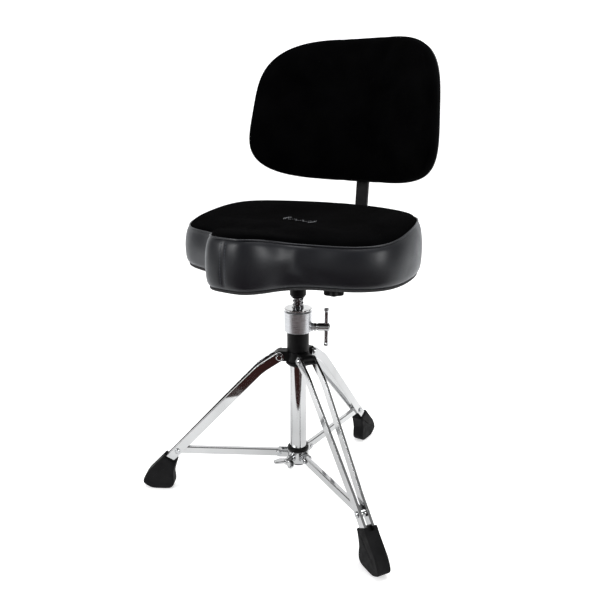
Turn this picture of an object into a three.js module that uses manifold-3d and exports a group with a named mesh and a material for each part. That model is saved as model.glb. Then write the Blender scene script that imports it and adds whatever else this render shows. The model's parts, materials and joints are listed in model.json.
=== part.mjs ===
// A drum throne: a saddle seat and a backrest on a threaded spindle, over a folding tripod with double legs.
// Millimetres, +Z up. The sitter faces -Y, the spindle stands on the design axis, and the feet rest on z = 0.
// The whole assembly is moved along Y at the end, so that the middle of its floor plan is the origin.
import * as THREE from 'three';
import { mergeVertices } from 'three/addons/utils/BufferGeometryUtils.js';
import Module from 'manifold-3d';

// ---- clearances ----
const GAP = 0.3; // between pieces that touch on the real object
const RUNNING = 0.3; // radial, round a pin, a bolt or the spindle

// ---- column ----
const TUBE_DIAMETER = 32;
const TUBE_WALL = 2;
const TUBE_BOTTOM = 64;
const HUB_BOTTOM = 266;
const HUB_HEIGHT = 28;
const SLEEVE_HEIGHT = 37;
const SLEEVE_WALL = 4.5;
const UPPER_COLLAR_DIAMETER = 51.5;
const UPPER_COLLAR_HEIGHT = 40.4;
const SPIGOT_LENGTH = 20;
const CAP_HEIGHT = 4;

// ---- spindle ----
const SPINDLE_DIAMETER = 20.5;
const THREAD_PITCH = 7;
const THREAD_DEPTH = 2;
const THREAD_LENGTH = 219;
const THREAD_SHOWING = 20;
const PILOT_DIAMETER = 14;
const BUSH_LENGTH = 14;
const CLIP_THICKNESS = 2.4;

// ---- tripod ----
const LEG_ANGLES = [90, 210, 330];
const HUB_PIN_RADIUS = 34; // distance of the leg's pivot from the column's axis
const HUB_PIN_DROP = 10; // of the leg's pivot below the hub's top
const HUB_PIN_DIAMETER = 8;
const EAR_WIDTH = 22.4;
const BAR_HEIGHT = 17.5;
const BAR_THICKNESS = 5;
const KNEE_OUT = 36; // from the leg's pivot to its bend
const KNEE_DROP = 24.5;
const RIVET_RADIUS = 236.5; // distance of the brace's outer pivot from the column's axis
const BRACE_HEIGHT = 82.4;
const RIVET_DIAMETER = 6;
const BAR_END = 50; // how far the bars run past the brace's pivot, into the foot
const PARALLEL_RUN = 25; // the bars run side by side from here above the brace's pivot
const BRACE_WIDTH = 9;
const BRACE_DEPTH = 14;
const BRACE_WALL = 2;
const BRACE_GAP = 0.5; // between the brace and a bar, and between the brace and an ear
const BRACE_PIN_RADIUS = 36; // distance of the brace's inner pivot from the column's axis
const BRACE_PIN_DIAMETER = 5;
const LOWER_COLLAR_DIAMETER = 42;
const LOWER_COLLAR_HEIGHT = 23;
const COLLAR_RING_HEIGHT = 6.5;
const COLLAR_EAR_THICKNESS = 3.5;
const FOOT_WIDTH = 25.5;
const FOOT_BEVEL = 2;
const HEEL_OUT = 9.5; // from the brace's pivot to the heel
const TOE_OUT = 72.5;
const SOLE_LENGTH = 22;
const WING_SPAN = 42;

// ---- height lock ----
const LOCK_ANGLE = 30;
const LOCK_HEIGHT = 8; // of the bolt's axis above the upper collar's lower edge
const LOCK_DIAMETER = 15;
const LOCK_REACH = 60;
const LOCK_SHAFT_DIAMETER = 10;
const LOCK_BAR_DIAMETER = 7.5;
const LOCK_BAR_LENGTH = 73;

// ---- seat ----
const SEAT_HUB_DIAMETER = 30;
const SEAT_HUB_HEIGHT = 51;
const SEAT_PLATE = 130;
const SEAT_PLATE_THICKNESS = 4;
const SEAT_BOLT_DIAMETER = 6;
const SEAT_WIDTH = 426;
const SEAT_LENGTH = 413;
const NOSE_WIDTH = 101;
const BOARD_THICKNESS = 12;
const BOARD_INSET = 7;
const SIDE_HEIGHT = 75; // from the board's underside to the seam round the top
const SIDE_BULGE = 9;
const CROWN = 17; // of the seat's middle over the seam
const THIGH_DIP = 6; // of the seam beside the thighs
const NOSE_RISE = 15; // from the dip to the nose
const HIP_RISE = 21; // from the dip to the hips
const REAR_FALL = 6; // from the hips to the rear
const DISH = 7; // of the middle of the top
const COVER_WALL = 2;

// ---- backrest post and its rail ----
const POST_WIDTH = 25.4;
const POST_THICKNESS = 9.5;
const POST_BELOW_BOARD = 17; // from the board's underside to the middle of the post's level part
const POST_FRONT = 70;
const POST_BACK = 228;
const POST_BEND = 30;
const POST_LEAN = 5.3;
const POST_TOP = 820;
const POST_CAP_DEPTH = 12;
const RAIL_FRONT = 95;
const RAIL_LENGTH = 70;
const RAIL_WALL = 5;
const KNOB_DIAMETER = 45;
const KNOB_HEIGHT = 19;
const KNOB_STEM_DIAMETER = 8;
const KNOB_DROP = 34; // of the depth knob below its rail

// ---- backrest ----
const BACK_WIDTH = 388;
const BACK_HEIGHT = 271;
const BACK_CENTRE = 721;
const BACK_THICKNESS = 39;
const BACK_BOARD_THICKNESS = 8;
const BACK_BOARD_INSET = 9;
const BACK_CURVE = 0.00225; // the panel comes forward by this times the square of the sideways distance
const BACK_TAPER = 0.15;
const CARRIAGE_HEIGHT = 70;
const CARRIAGE_WALL = 4;
const FLANGE_WIDTH = 72;
const FLANGE_THICKNESS = 3;

// ---- worked out from the sizes above ----
const tubeRadius = TUBE_DIAMETER / 2;
const boreOverTube = tubeRadius + GAP;
const hubTop = HUB_BOTTOM + HUB_HEIGHT;
const sleeveTop = hubTop + GAP + SLEEVE_HEIGHT;
const collarBottom = sleeveTop + GAP;
const collarTop = collarBottom + UPPER_COLLAR_HEIGHT;
const capTop = collarTop + GAP + CAP_HEIGHT;
const spindleRadius = SPINDLE_DIAMETER / 2;
const spindleBore = spindleRadius + RUNNING;
const seatHubBottom = capTop + THREAD_SHOWING;
const seatHubTop = seatHubBottom + SEAT_HUB_HEIGHT;
const plateBottom = seatHubTop + GAP;
const boardBottom = plateBottom + SEAT_PLATE_THICKNESS + GAP;
const hubPinHeight = hubTop - HUB_PIN_DROP;
const barInner = EAR_WIDTH / 2 + GAP; // sideways, from a leg's middle plane to a bar's inner face
const barInnerAtFoot = BRACE_WIDTH / 2 + BRACE_GAP;
const postLevel = boardBottom - POST_BELOW_BOARD;
const lean = THREE.MathUtils.degToRad(POST_LEAN);

const FINISHES = {
  chrome: { color: 0xc9cccf, metalness: 1, roughness: 0.12 },
  satin: { color: 0xa9acb0, metalness: 1, roughness: 0.38 },
  blackPlastic: { color: 0x17171a, metalness: 0, roughness: 0.45 },
  blackMetal: { color: 0x1b1b1d, metalness: 0.6, roughness: 0.4 },
  rubber: { color: 0x1a1a1b, metalness: 0, roughness: 0.85 },
  steel: { color: 0x8d9094, metalness: 1, roughness: 0.35 },
  nylon: { color: 0xd9d6c8, metalness: 0, roughness: 0.6 },
  wood: { color: 0xb18a5a, metalness: 0, roughness: 0.7 },
  foam: { color: 0xd8cfa4, metalness: 0, roughness: 0.95 },
  upholstery: { color: 0x1d1d20, metalness: 0, roughness: 0.7 },
};

// ---- solids ----
const wasm = await Module();
wasm.setup();

// A manifold-3d solid from a three.js geometry, turned outwards if its faces point in.
function solid(geometry) {
  const bare = geometry.index ? geometry.toNonIndexed() : geometry.clone();
  bare.deleteAttribute('normal');
  bare.deleteAttribute('uv');
  const welded = mergeVertices(bare, 1e-4);
  const vertProperties = welded.attributes.position.array;
  const triVerts = new Uint32Array(welded.index.array);
  const made = new wasm.Manifold(new wasm.Mesh({ numProp: 3, vertProperties, triVerts }));
  if (made.volume() > 0) return made;
  return new wasm.Manifold(new wasm.Mesh({ numProp: 3, vertProperties, triVerts: triVerts.reverse() }));
}

function geometryOf(made) {
  const mesh = made.getMesh();
  const geometry = new THREE.BufferGeometry();
  geometry.setAttribute('position', new THREE.BufferAttribute(mesh.vertProperties, 3));
  geometry.setIndex(new THREE.BufferAttribute(mesh.triVerts, 1));
  const flat = geometry.toNonIndexed();
  flat.computeVertexNormals();
  return flat;
}

const join = (first, ...others) => others.reduce((all, next) => all.add(next), first);
const cut = (first, ...others) => others.reduce((rest, next) => rest.subtract(next), first);

// A turned solid about Z from [radius, height] points; the list closes on itself unless it starts on the axis.
function turned(points, segments = 20) {
  const loop = points[0][0] === 0 ? points : [...points, points[0]];
  const profile = loop.map(([radius, height]) => new THREE.Vector2(radius, height));
  return solid(new THREE.LatheGeometry(profile, segments).rotateX(Math.PI / 2));
}

const rod = (radius, low, high, segments) =>
  turned([[0, low], [radius, low], [radius, high], [0, high]], segments);

const pipe = (inner, outer, low, high, segments) =>
  turned([[inner, low], [outer, low], [outer, high], [inner, high]], segments);

function block(low, high) {
  const size = high.map((value, i) => value - low[i]);
  const middle = high.map((value, i) => (value + low[i]) / 2);
  return solid(new THREE.BoxGeometry(...size).translate(...middle));
}

// A turned solid laid along +X or along +Y, at a height.
const alongX = (made, height = 0) => made.rotate([0, 90, 0]).translate([0, 0, height]);
const alongY = (made, x, height) => made.rotate([-90, 0, 0]).translate([x, 0, height]);

// A shape drawn in the X-Z plane, given a thickness along Y.
function sideOn(shape, fromY, toY, bevel = 0) {
  const settings = { depth: toY - fromY - 2 * bevel, bevelEnabled: bevel > 0, curveSegments: 5 };
  Object.assign(settings, { bevelThickness: bevel, bevelSize: bevel, bevelOffset: -bevel, bevelSegments: 1 });
  const geometry = new THREE.ExtrudeGeometry(shape, settings);
  return solid(geometry.rotateX(Math.PI / 2).translate(0, toY - bevel, 0));
}

function roundedRectangle(width, height, radius) {
  const [x, y] = [width / 2 - radius, height / 2 - radius];
  const shape = new THREE.Shape();
  shape.absarc(x, y, radius, 0, Math.PI / 2);
  shape.absarc(-x, y, radius, Math.PI / 2, Math.PI);
  shape.absarc(-x, -y, radius, Math.PI, Math.PI * 1.5);
  shape.absarc(x, -y, radius, Math.PI * 1.5, Math.PI * 2);
  shape.closePath();
  return shape;
}

function raised(shape, low, high) {
  const geometry = new THREE.ExtrudeGeometry(shape, { depth: high - low, bevelEnabled: false, curveSegments: 4 });
  return solid(geometry.translate(0, 0, low));
}

// ---- the scene graph ----
const throne = new THREE.Group();
throne.name = 'drum_throne';

function add(parent, name, made, finish) {
  const mesh = new THREE.Mesh(geometryOf(made), new THREE.MeshStandardMaterial(FINISHES[finish]));
  mesh.name = name;
  parent.add(mesh);
  return mesh;
}

// A named empty that marks a joint's pivot; its local Z is the joint's axis.
function pivot(parent, name, position, axis) {
  const marker = new THREE.Object3D();
  marker.name = name;
  marker.position.set(...position);
  marker.quaternion.setFromUnitVectors(new THREE.Vector3(0, 0, 1), new THREE.Vector3(...axis).normalize());
  parent.add(marker);
}

function turnedGroup(degrees) {
  const group = new THREE.Group();
  group.rotation.z = THREE.MathUtils.degToRad(degrees);
  throne.add(group);
  return group;
}

// ---- column ----
const lockHeight = collarBottom + LOCK_HEIGHT;
const spigotRadius = tubeRadius + SLEEVE_WALL - 0.8;
const lockShaftBore = LOCK_SHAFT_DIAMETER / 2 + RUNNING;

function lockBore() {
  const bore = alongX(rod(lockShaftBore, 0, UPPER_COLLAR_DIAMETER, 16), lockHeight);
  return bore.rotate([0, 0, LOCK_ANGLE]);
}

function buildColumn() {
  const tubeTop = collarBottom - 2;
  const tubeBore = tubeRadius - TUBE_WALL;
  add(throne, 'main_tube', pipe(tubeBore, tubeRadius, TUBE_BOTTOM, tubeTop), 'chrome');

  const plugRim = TUBE_BOTTOM - GAP;
  const plug = turned([[0, plugRim - 3], [tubeRadius - 0.5, plugRim - 3], [tubeRadius, plugRim - 2],
    [tubeRadius, plugRim], [tubeBore - GAP, plugRim], [tubeBore - GAP, TUBE_BOTTOM + 14], [0, TUBE_BOTTOM + 14]]);
  add(throne, 'tube_end_plug', plug, 'blackPlastic');

  const sleeveRadius = tubeRadius + SLEEVE_WALL;
  const sleeveBottom = hubTop + GAP;
  const step = collarBottom - SPIGOT_LENGTH;
  const sleeve = turned([[boreOverTube, sleeveBottom], [sleeveRadius, sleeveBottom], [sleeveRadius, sleeveTop],
    [spigotRadius + GAP, sleeveTop], [spigotRadius + GAP, step - GAP], [boreOverTube, step - GAP]]);
  add(throne, 'black_sleeve', sleeve, 'blackPlastic');

  const outer = UPPER_COLLAR_DIAMETER / 2;
  const body = turned([[boreOverTube, step], [spigotRadius, step], [spigotRadius, collarBottom],
    [outer - 1, collarBottom], [outer, collarBottom + 1], [outer, collarTop - 1], [outer - 1, collarTop],
    [boreOverTube, collarTop]]);
  const boss = alongX(rod(LOCK_DIAMETER / 2 + 0.3, outer - 3, outer + 3, 20), lockHeight);
  add(throne, 'upper_collar', cut(body.add(boss.rotate([0, 0, LOCK_ANGLE])), lockBore()), 'satin');

  const insertBody = pipe(spindleBore, tubeRadius, tubeTop + GAP, collarTop - GAP);
  add(throne, 'threaded_insert', cut(insertBody, lockBore()), 'steel');

  const capBottom = collarTop + GAP;
  const cap = turned([[spindleBore, capBottom], [outer - 1, capBottom], [outer, capBottom + 1],
    [outer, capTop - 1], [outer - 1, capTop], [spindleBore, capTop]]);
  add(throne, 'collar_cap', cap, 'chrome');
}

function earOutline(start, end, middle, radius) {
  const shape = new THREE.Shape();
  shape.moveTo(start, middle - radius);
  shape.lineTo(end, middle - radius);
  shape.absarc(end, middle, radius, -Math.PI / 2, Math.PI / 2);
  shape.lineTo(start, middle + radius);
  shape.closePath();
  return shape;
}

const crossBore = (radius, x, height, reach = 60) => alongY(rod(radius, -reach, reach, 12), x, height);

function buildLegHub() {
  const outer = tubeRadius + SLEEVE_WALL;
  let hub = turned([[0, HUB_BOTTOM], [outer - 1, HUB_BOTTOM], [outer, HUB_BOTTOM + 1], [outer, hubTop], [0, hubTop]]);
  for (const angle of LEG_ANGLES) {
    const outline = earOutline(0, HUB_PIN_RADIUS, hubPinHeight, HUB_PIN_DROP - GAP);
    const ear = sideOn(outline, -EAR_WIDTH / 2, EAR_WIDTH / 2);
    const bored = cut(ear, crossBore(HUB_PIN_DIAMETER / 2 + RUNNING, HUB_PIN_RADIUS, hubPinHeight));
    hub = hub.add(bored.rotate([0, 0, angle]));
  }
  const bore = rod(boreOverTube, HUB_BOTTOM - 1, hubTop + 1);
  add(throne, 'leg_hub', cut(hub, bore), 'blackPlastic');
}

// ---- legs ----
const rivet = new THREE.Vector2(RIVET_RADIUS, BRACE_HEIGHT);
const hubPin = new THREE.Vector2(HUB_PIN_RADIUS, hubPinHeight);
const knee = new THREE.Vector2(HUB_PIN_RADIUS + KNEE_OUT, hubPinHeight - KNEE_DROP);
const shin = rivet.clone().sub(knee).normalize(); // along the leg, down and outwards, in the leg's own plane
const shinOut = new THREE.Vector2(-shin.y, shin.x); // square to the leg, up and outwards

const onShin = (along, out) => rivet.clone().addScaledVector(shin, along).addScaledVector(shinOut, out);

// A bar's centre line: where it is, which way it runs and how tall it is there.
function barStations() {
  const thigh = knee.clone().sub(hubPin).normalize();
  const bend = thigh.clone().add(shin).normalize();
  const half = BAR_HEIGHT / 2;
  const stations = [75, 45, 20, 0].map((degrees) => {
    const angle = THREE.MathUtils.degToRad(degrees);
    const at = hubPin.clone().addScaledVector(thigh, -half * Math.sin(angle));
    return { at, along: thigh, half: half * Math.cos(angle), spread: 1 };
  });
  const parallelAt = onShin(-PARALLEL_RUN, 0);
  stations.push({ at: knee.clone().addScaledVector(thigh, -6), along: thigh, half, spread: 1 });
  stations.push({ at: knee, along: bend, half, spread: 1 });
  stations.push({ at: knee.clone().addScaledVector(shin, 6), along: shin, half, spread: 1 });
  stations.push({ at: parallelAt, along: shin, half, spread: 0 });
  stations.push({ at: onShin(BAR_END, 0), along: shin, half, spread: 0 });
  return stations;
}

// side is +1 for the bar on the leg's left and -1 for its right; grow swells it, for the pocket in the foot.
function bar(side, grow = 0) {
  const stations = barStations();
  const steps = stations.length - 1;
  const geometry = new THREE.BoxGeometry(1, 1, 1, steps, 1, 1);
  const place = geometry.attributes.position;
  for (let i = 0; i < place.count; i++) {
    const step = Math.round((place.getX(i) + 0.5) * steps);
    const { at, along, half, spread } = stations[step];
    const inner = barInnerAtFoot + (barInner - barInnerAtFoot) * spread;
    const sideways = inner + BAR_THICKNESS / 2 + Math.sign(place.getY(i)) * (BAR_THICKNESS / 2 + grow);
    const up = Math.sign(place.getZ(i)) * (half + grow);
    const past = step === steps ? grow : 0;
    place.setXYZ(i, at.x - along.y * up + along.x * past, side * sideways, at.y + along.x * up + along.y * past);
  }
  return solid(geometry);
}

// The foot from its side: its top is square to the bars, and its toe is lifted off the floor.
function footOutline() {
  const heelUp = new THREE.Vector2(RIVET_RADIUS + HEEL_OUT, 22);
  const toe = new THREE.Vector2(RIVET_RADIUS + TOE_OUT, 17);
  const soleBack = heelUp.x + 16;
  const soleFront = soleBack + SOLE_LENGTH;
  const [topInner, topOuter, shinEnd] = [onShin(19, -14), onShin(25, 12.5), onShin(64, 13)];
  const shape = new THREE.Shape();
  shape.moveTo(topInner.x, topInner.y);
  shape.lineTo(topOuter.x, topOuter.y);
  shape.lineTo(shinEnd.x, shinEnd.y);
  shape.quadraticCurveTo(shinEnd.x + 9, shinEnd.y - 9, toe.x, toe.y);
  shape.bezierCurveTo(toe.x - 2, 11, soleFront + 10, 1.5, soleFront, 0);
  shape.lineTo(soleBack, 0);
  shape.bezierCurveTo(soleBack - 10, 1, heelUp.x, 10, heelUp.x, heelUp.y);
  shape.lineTo(heelUp.x + 1, 38);
  shape.closePath();
  return shape;
}

function buildLeg(index, group) {
  const name = `leg_${index + 1}`;
  const pinBore = crossBore(HUB_PIN_DIAMETER / 2 + RUNNING, hubPin.x, hubPin.y);
  const rivetBore = crossBore(RIVET_DIAMETER / 2 + RUNNING, rivet.x, rivet.y);
  const foot = sideOn(footOutline(), -FOOT_WIDTH / 2, FOOT_WIDTH / 2, FOOT_BEVEL);
  // The brace's outer end swings through this notch, between the two bars, when the leg folds.
  const depth = BRACE_DEPTH / 2 + 25;
  const notch = new THREE.Shape([onShin(0, 4), onShin(depth, 4), onShin(depth, 60), onShin(0, 60)]);
  const notchHalf = BRACE_WIDTH / 2 + BRACE_GAP;
  let boot = cut(foot, sideOn(notch, -notchHalf, notchHalf));
  for (const [word, side] of [['left', 1], ['right', -1]]) {
    add(group, `${name}_bar_${word}`, cut(bar(side), pinBore, rivetBore), 'chrome');
    boot = cut(boot, bar(side, GAP));
    const outerFace = barInnerAtFoot + BAR_THICKNESS;
    const head = [[0, barInnerAtFoot], [RIVET_DIAMETER / 2, barInnerAtFoot], [RIVET_DIAMETER / 2, outerFace + GAP],
      [5.5, outerFace + GAP], [4.6, outerFace + 2], [2.5, outerFace + 3.2], [0, outerFace + 3.6]];
    const dome = alongY(turned(head, 12), 0, 0);
    const placed = side > 0 ? dome : dome.rotate([0, 0, 180]);
    add(group, `${name}_rivet_${word}`, placed.translate([rivet.x, 0, rivet.y]), 'steel');
  }
  add(group, `${name}_foot`, boot, 'rubber');
  pivot(group, `${name}_fold`, [hubPin.x, 0, hubPin.y], [0, 1, 0]);
}

function headedPin(radius, headRadius, headHeight, halfGrip) {
  const end = halfGrip + headHeight;
  return turned([[0, -end], [headRadius * 0.7, -end], [headRadius, -end + headHeight / 2], [headRadius, -halfGrip],
    [radius, -halfGrip], [radius, halfGrip], [headRadius, halfGrip], [headRadius, end - headHeight / 2],
    [headRadius * 0.7, end], [0, end]], 12);
}

function buildHubPin(index, group) {
  const grip = barInner + BAR_THICKNESS + GAP;
  const pin = headedPin(HUB_PIN_DIAMETER / 2, HUB_PIN_DIAMETER * 0.8, 3, grip);
  add(group, `hub_pin_${index + 1}`, alongY(pin, hubPin.x, hubPin.y), 'steel');
}

// ---- braces and the sliding collar ----
const collarEarInner = BRACE_WIDTH / 2 + BRACE_GAP;
const collarEarOuter = collarEarInner + COLLAR_EAR_THICKNESS;
const lowerCollarBottom = BRACE_HEIGHT - LOWER_COLLAR_HEIGHT * 0.65;
const lowerCollarTop = lowerCollarBottom + LOWER_COLLAR_HEIGHT;
const wingHeight = lowerCollarBottom + LOWER_COLLAR_HEIGHT / 2;

function bracePath(inset, low, high) {
  const shape = new THREE.Shape();
  const radius = BRACE_DEPTH / 2 - inset;
  shape.absarc(BRACE_PIN_RADIUS, BRACE_HEIGHT, radius, Math.PI / 2, Math.PI * 1.5);
  shape.absarc(RIVET_RADIUS, BRACE_HEIGHT, radius, -Math.PI / 2, Math.PI / 2);
  shape.closePath();
  return sideOn(shape, low, high);
}

function buildBrace(index, group) {
  const half = BRACE_WIDTH / 2;
  const channel = block([0, -half + BRACE_WALL, BRACE_HEIGHT - BRACE_DEPTH],
    [RIVET_RADIUS * 2, half - BRACE_WALL, BRACE_HEIGHT + BRACE_DEPTH / 2 - BRACE_WALL]);
  const bores = [[BRACE_PIN_RADIUS, BRACE_PIN_DIAMETER], [RIVET_RADIUS, RIVET_DIAMETER]].map(([x, diameter]) =>
    crossBore(diameter / 2 + RUNNING, x, BRACE_HEIGHT));
  add(group, `brace_${index + 1}`, cut(bracePath(0, -half, half), channel, ...bores), 'chrome');
  pivot(group, `brace_${index + 1}_swing`, [BRACE_PIN_RADIUS, 0, BRACE_HEIGHT], [0, 1, 0]);
  const pin = headedPin(BRACE_PIN_DIAMETER / 2, BRACE_PIN_DIAMETER * 0.8, 1.4, collarEarOuter + 0.2);
  add(group, `brace_pin_${index + 1}`, alongY(pin, BRACE_PIN_RADIUS, BRACE_HEIGHT), 'steel');
}

function buildLowerCollar() {
  const outer = LOWER_COLLAR_DIAMETER / 2;
  let body = turned([[0, lowerCollarBottom], [outer - 1, lowerCollarBottom], [outer, lowerCollarBottom + 1],
    [outer, lowerCollarTop - 1], [outer - 1, lowerCollarTop], [0, lowerCollarTop]]);
  const earRadius = BRACE_DEPTH / 2;
  for (const angle of LEG_ANGLES) {
    const outline = earOutline(0, BRACE_PIN_RADIUS, BRACE_HEIGHT, earRadius);
    const pair = sideOn(outline, -collarEarOuter, collarEarOuter);
    const slot = block([outer + GAP, -collarEarInner, BRACE_HEIGHT - 20],
      [BRACE_PIN_RADIUS + 20, collarEarInner, BRACE_HEIGHT + 20]);
    const bored = cut(pair, slot, crossBore(BRACE_PIN_DIAMETER / 2 + RUNNING, BRACE_PIN_RADIUS, BRACE_HEIGHT));
    body = body.add(bored.rotate([0, 0, angle]));
  }
  const boss = alongX(rod(7.5, 0, outer + 6, 20), wingHeight).rotate([0, 0, -90]);
  const bossBore = alongX(rod(4 + RUNNING, 0, outer + 20, 16), wingHeight).rotate([0, 0, -90]);
  const bore = rod(boreOverTube, lowerCollarBottom - 1, lowerCollarTop + 1);
  add(throne, 'lower_collar', cut(body.add(boss), bore, bossBore), 'chrome');
  pivot(throne, 'collar_slide', [0, 0, lowerCollarTop], [0, 0, 1]);

  const ringBottom = lowerCollarTop + GAP;
  const ringTop = ringBottom + COLLAR_RING_HEIGHT;
  const ring = turned([[boreOverTube, ringBottom], [outer - 0.5, ringBottom], [outer - 0.5, ringTop - 1.5],
    [outer - 2, ringTop], [boreOverTube, ringTop]]);
  add(throne, 'collar_ring', ring, 'blackPlastic');
}

function buildWingBolt() {
  const outer = LOWER_COLLAR_DIAMETER / 2;
  const shaft = alongX(rod(4, boreOverTube + GAP, outer + 12, 16));
  const barrel = alongX(turned([[0, outer + 8], [7, outer + 8], [6, outer + 22], [0, outer + 22]], 16));
  const wings = new THREE.Shape();
  const half = WING_SPAN / 2;
  const root = outer + 10;
  wings.moveTo(root, -6);
  wings.lineTo(root + 8, -half * 0.85);
  wings.absarc(root + 19, -half + 5, 6, -Math.PI * 0.8, Math.PI * 0.35);
  wings.lineTo(root + 13, 0);
  wings.absarc(root + 19, half - 5, 6, -Math.PI * 0.35, Math.PI * 0.8);
  wings.lineTo(root, 6);
  wings.closePath();
  const made = join(shaft, barrel, raised(wings, -2.4, 2.4)).translate([0, 0, wingHeight]);
  const group = turnedGroup(-90);
  add(group, 'wing_bolt', made, 'chrome');
  pivot(group, 'wing_turn', [outer, 0, wingHeight], [1, 0, 0]);
}

// ---- height lock ----
function buildLock() {
  const group = turnedGroup(LOCK_ANGLE);
  const face = UPPER_COLLAR_DIAMETER / 2 + 3 + GAP;
  const radius = LOCK_DIAMETER / 2;
  const tip = spindleRadius + GAP;
  const body = turned([[0, tip], [LOCK_SHAFT_DIAMETER / 2, tip], [LOCK_SHAFT_DIAMETER / 2, face], [radius - 1, face],
    [radius, face + 1], [radius, LOCK_REACH - 3], [radius - 3, LOCK_REACH], [0, LOCK_REACH]]);
  const barAt = LOCK_REACH - LOCK_BAR_DIAMETER;
  const barBore = rod(LOCK_BAR_DIAMETER / 2 + RUNNING, -20, 20, 16).translate([barAt, 0, 0]);
  const bolt = cut(alongX(body), barBore).translate([0, 0, lockHeight]);
  add(group, 'lock_bolt', bolt, 'chrome');
  pivot(group, 'lock_turn', [LOCK_REACH, 0, lockHeight], [1, 0, 0]);

  const half = LOCK_BAR_LENGTH / 2;
  const thin = LOCK_BAR_DIAMETER / 2;
  const thick = thin + 1;
  const bar = turned([[0, -half], [thick - 1.2, -half], [thick, -half + 1.2], [thick, -half + 4], [thin, -half + 6],
    [thin, half - 6], [thick, half - 4], [thick, half - 1.2], [thick - 1.2, half], [0, half]], 16);
  add(group, 'lock_bar', bar.translate([barAt, 0, lockHeight]), 'chrome');
  pivot(group, 'lock_bar_slide', [barAt, 0, lockHeight], [0, 0, 1]);
}

// ---- spindle ----
// A rod with a thread along it: rows of vertices follow the helix, three rows to each turn.
function threadedRod(crest, depth, pitch, low, high) {
  const around = 8;
  const radii = [crest, crest, crest - depth];
  const rows = radii.length;
  const turns = Math.ceil((high - low) / pitch) + 3;
  const start = low - 2 * pitch;
  const positions = [];
  for (let row = 0; row <= turns * rows; row++) {
    for (let i = 0; i < around; i++) {
      const angle = (i / around) * Math.PI * 2;
      const radius = radii[row % rows];
      const height = start + (row / rows + i / around) * pitch;
      positions.push(radius * Math.cos(angle), radius * Math.sin(angle), height);
    }
  }
  const at = (row, i) => (i < around ? row * around + i : (row + rows) * around + i - around);
  const lastRow = turns * rows - rows;
  const faces = [];
  for (let row = 0; row < lastRow; row++) {
    for (let i = 0; i < around; i++) {
      const [a, b, c, d] = [at(row, i), at(row, i + 1), at(row + 1, i + 1), at(row + 1, i)];
      faces.push(a, b, c, a, c, d);
    }
  }
  // Each end closes on a point of the axis, along the row it stops at and down the step of one turn.
  const endLoop = (row) => {
    const loop = Array.from({ length: around + 1 }, (_, i) => at(row, i));
    for (let back = rows - 1; back > 0; back--) loop.push(at(row + back, 0));
    return loop;
  };
  const tips = [start - pitch, start + (turns + 1) * pitch].map((height) => {
    positions.push(0, 0, height);
    return positions.length / 3 - 1;
  });
  const [bottom, top] = [endLoop(0), endLoop(lastRow)];
  bottom.forEach((vertex, i) => faces.push(vertex, tips[0], bottom[(i + 1) % bottom.length]));
  top.forEach((vertex, i) => faces.push(vertex, top[(i + 1) % top.length], tips[1]));
  const geometry = new THREE.BufferGeometry();
  geometry.setAttribute('position', new THREE.Float32BufferAttribute(positions, 3));
  geometry.setIndex(faces);
  const used = geometry.toNonIndexed();
  return solid(used).intersect(rod(crest + 1, low, high));
}

function buildSpindle() {
  const threadBottom = seatHubBottom - THREAD_LENGTH;
  const shankTop = seatHubTop - 2;
  const bushTop = threadBottom - GAP;
  const bushBottom = bushTop - BUSH_LENGTH;
  const clipTop = bushBottom - GAP;
  const pilotRadius = PILOT_DIAMETER / 2;
  const thread = threadedRod(spindleRadius, THREAD_DEPTH, THREAD_PITCH, threadBottom, seatHubBottom);
  const shank = rod(spindleRadius, seatHubBottom - 0.5, shankTop);
  const pilot = turned([[0, clipTop - 5], [pilotRadius - 1, clipTop - 5], [pilotRadius, clipTop - 4],
    [pilotRadius, threadBottom + 1], [0, threadBottom + 1]]);
  add(throne, 'spindle', join(thread, shank, pilot), 'chrome');

  const bushRadius = tubeRadius - TUBE_WALL - RUNNING;
  add(throne, 'spindle_guide', pipe(pilotRadius + RUNNING, bushRadius, bushBottom, bushTop), 'nylon');
  const clipMouth = block([0, -3, clipTop - 10], [20, 3, clipTop + 10]);
  const clip = pipe(pilotRadius + GAP / 2, pilotRadius + 4, clipTop - CLIP_THICKNESS, clipTop);
  add(throne, 'guide_clip', cut(clip, clipMouth), 'steel');
  pivot(throne, 'seat_spin', [0, 0, clipTop], [0, 0, 1]);
}

// ---- seat ----
// The saddle's outline from above, closed, nose at -Y.
function seatOutline() {
  const [w, l, n] = [SEAT_WIDTH / 2, SEAT_LENGTH / 2, NOSE_WIDTH / 2];
  const half = [[n * 0.6, -l * 0.985], [n, -l * 0.87], [n * 1.28, -l * 0.72], [w * 0.47, -l * 0.575],
    [w * 0.78, -l * 0.475], [w * 0.965, -l * 0.28], [w, 0], [w * 0.925, l * 0.4], [w * 0.715, l * 0.73],
    [w * 0.38, l * 0.94]];
  const mirrored = half.map(([x, y]) => [-x, y]).reverse();
  const points = [[0, -l], ...half, [0, l], ...mirrored].map(([x, y]) => new THREE.Vector3(x, y, 0));
  return new THREE.CatmullRomCurve3(points, true, 'centripetal');
}

function backOutline() {
  const power = 3.6;
  const points = Array.from({ length: 48 }, (_, i) => {
    const angle = (i / 48) * Math.PI * 2;
    const bow = (value) => Math.sign(value) * Math.abs(value) ** (2 / power);
    const up = bow(Math.sin(angle));
    const wide = bow(Math.cos(angle)) * (1 - (BACK_TAPER / 2) * up);
    return new THREE.Vector3((wide * BACK_WIDTH) / 2, (up * BACK_HEIGHT) / 2, 0);
  });
  return new THREE.CatmullRomCurve3(points, true, 'centripetal');
}

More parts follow.
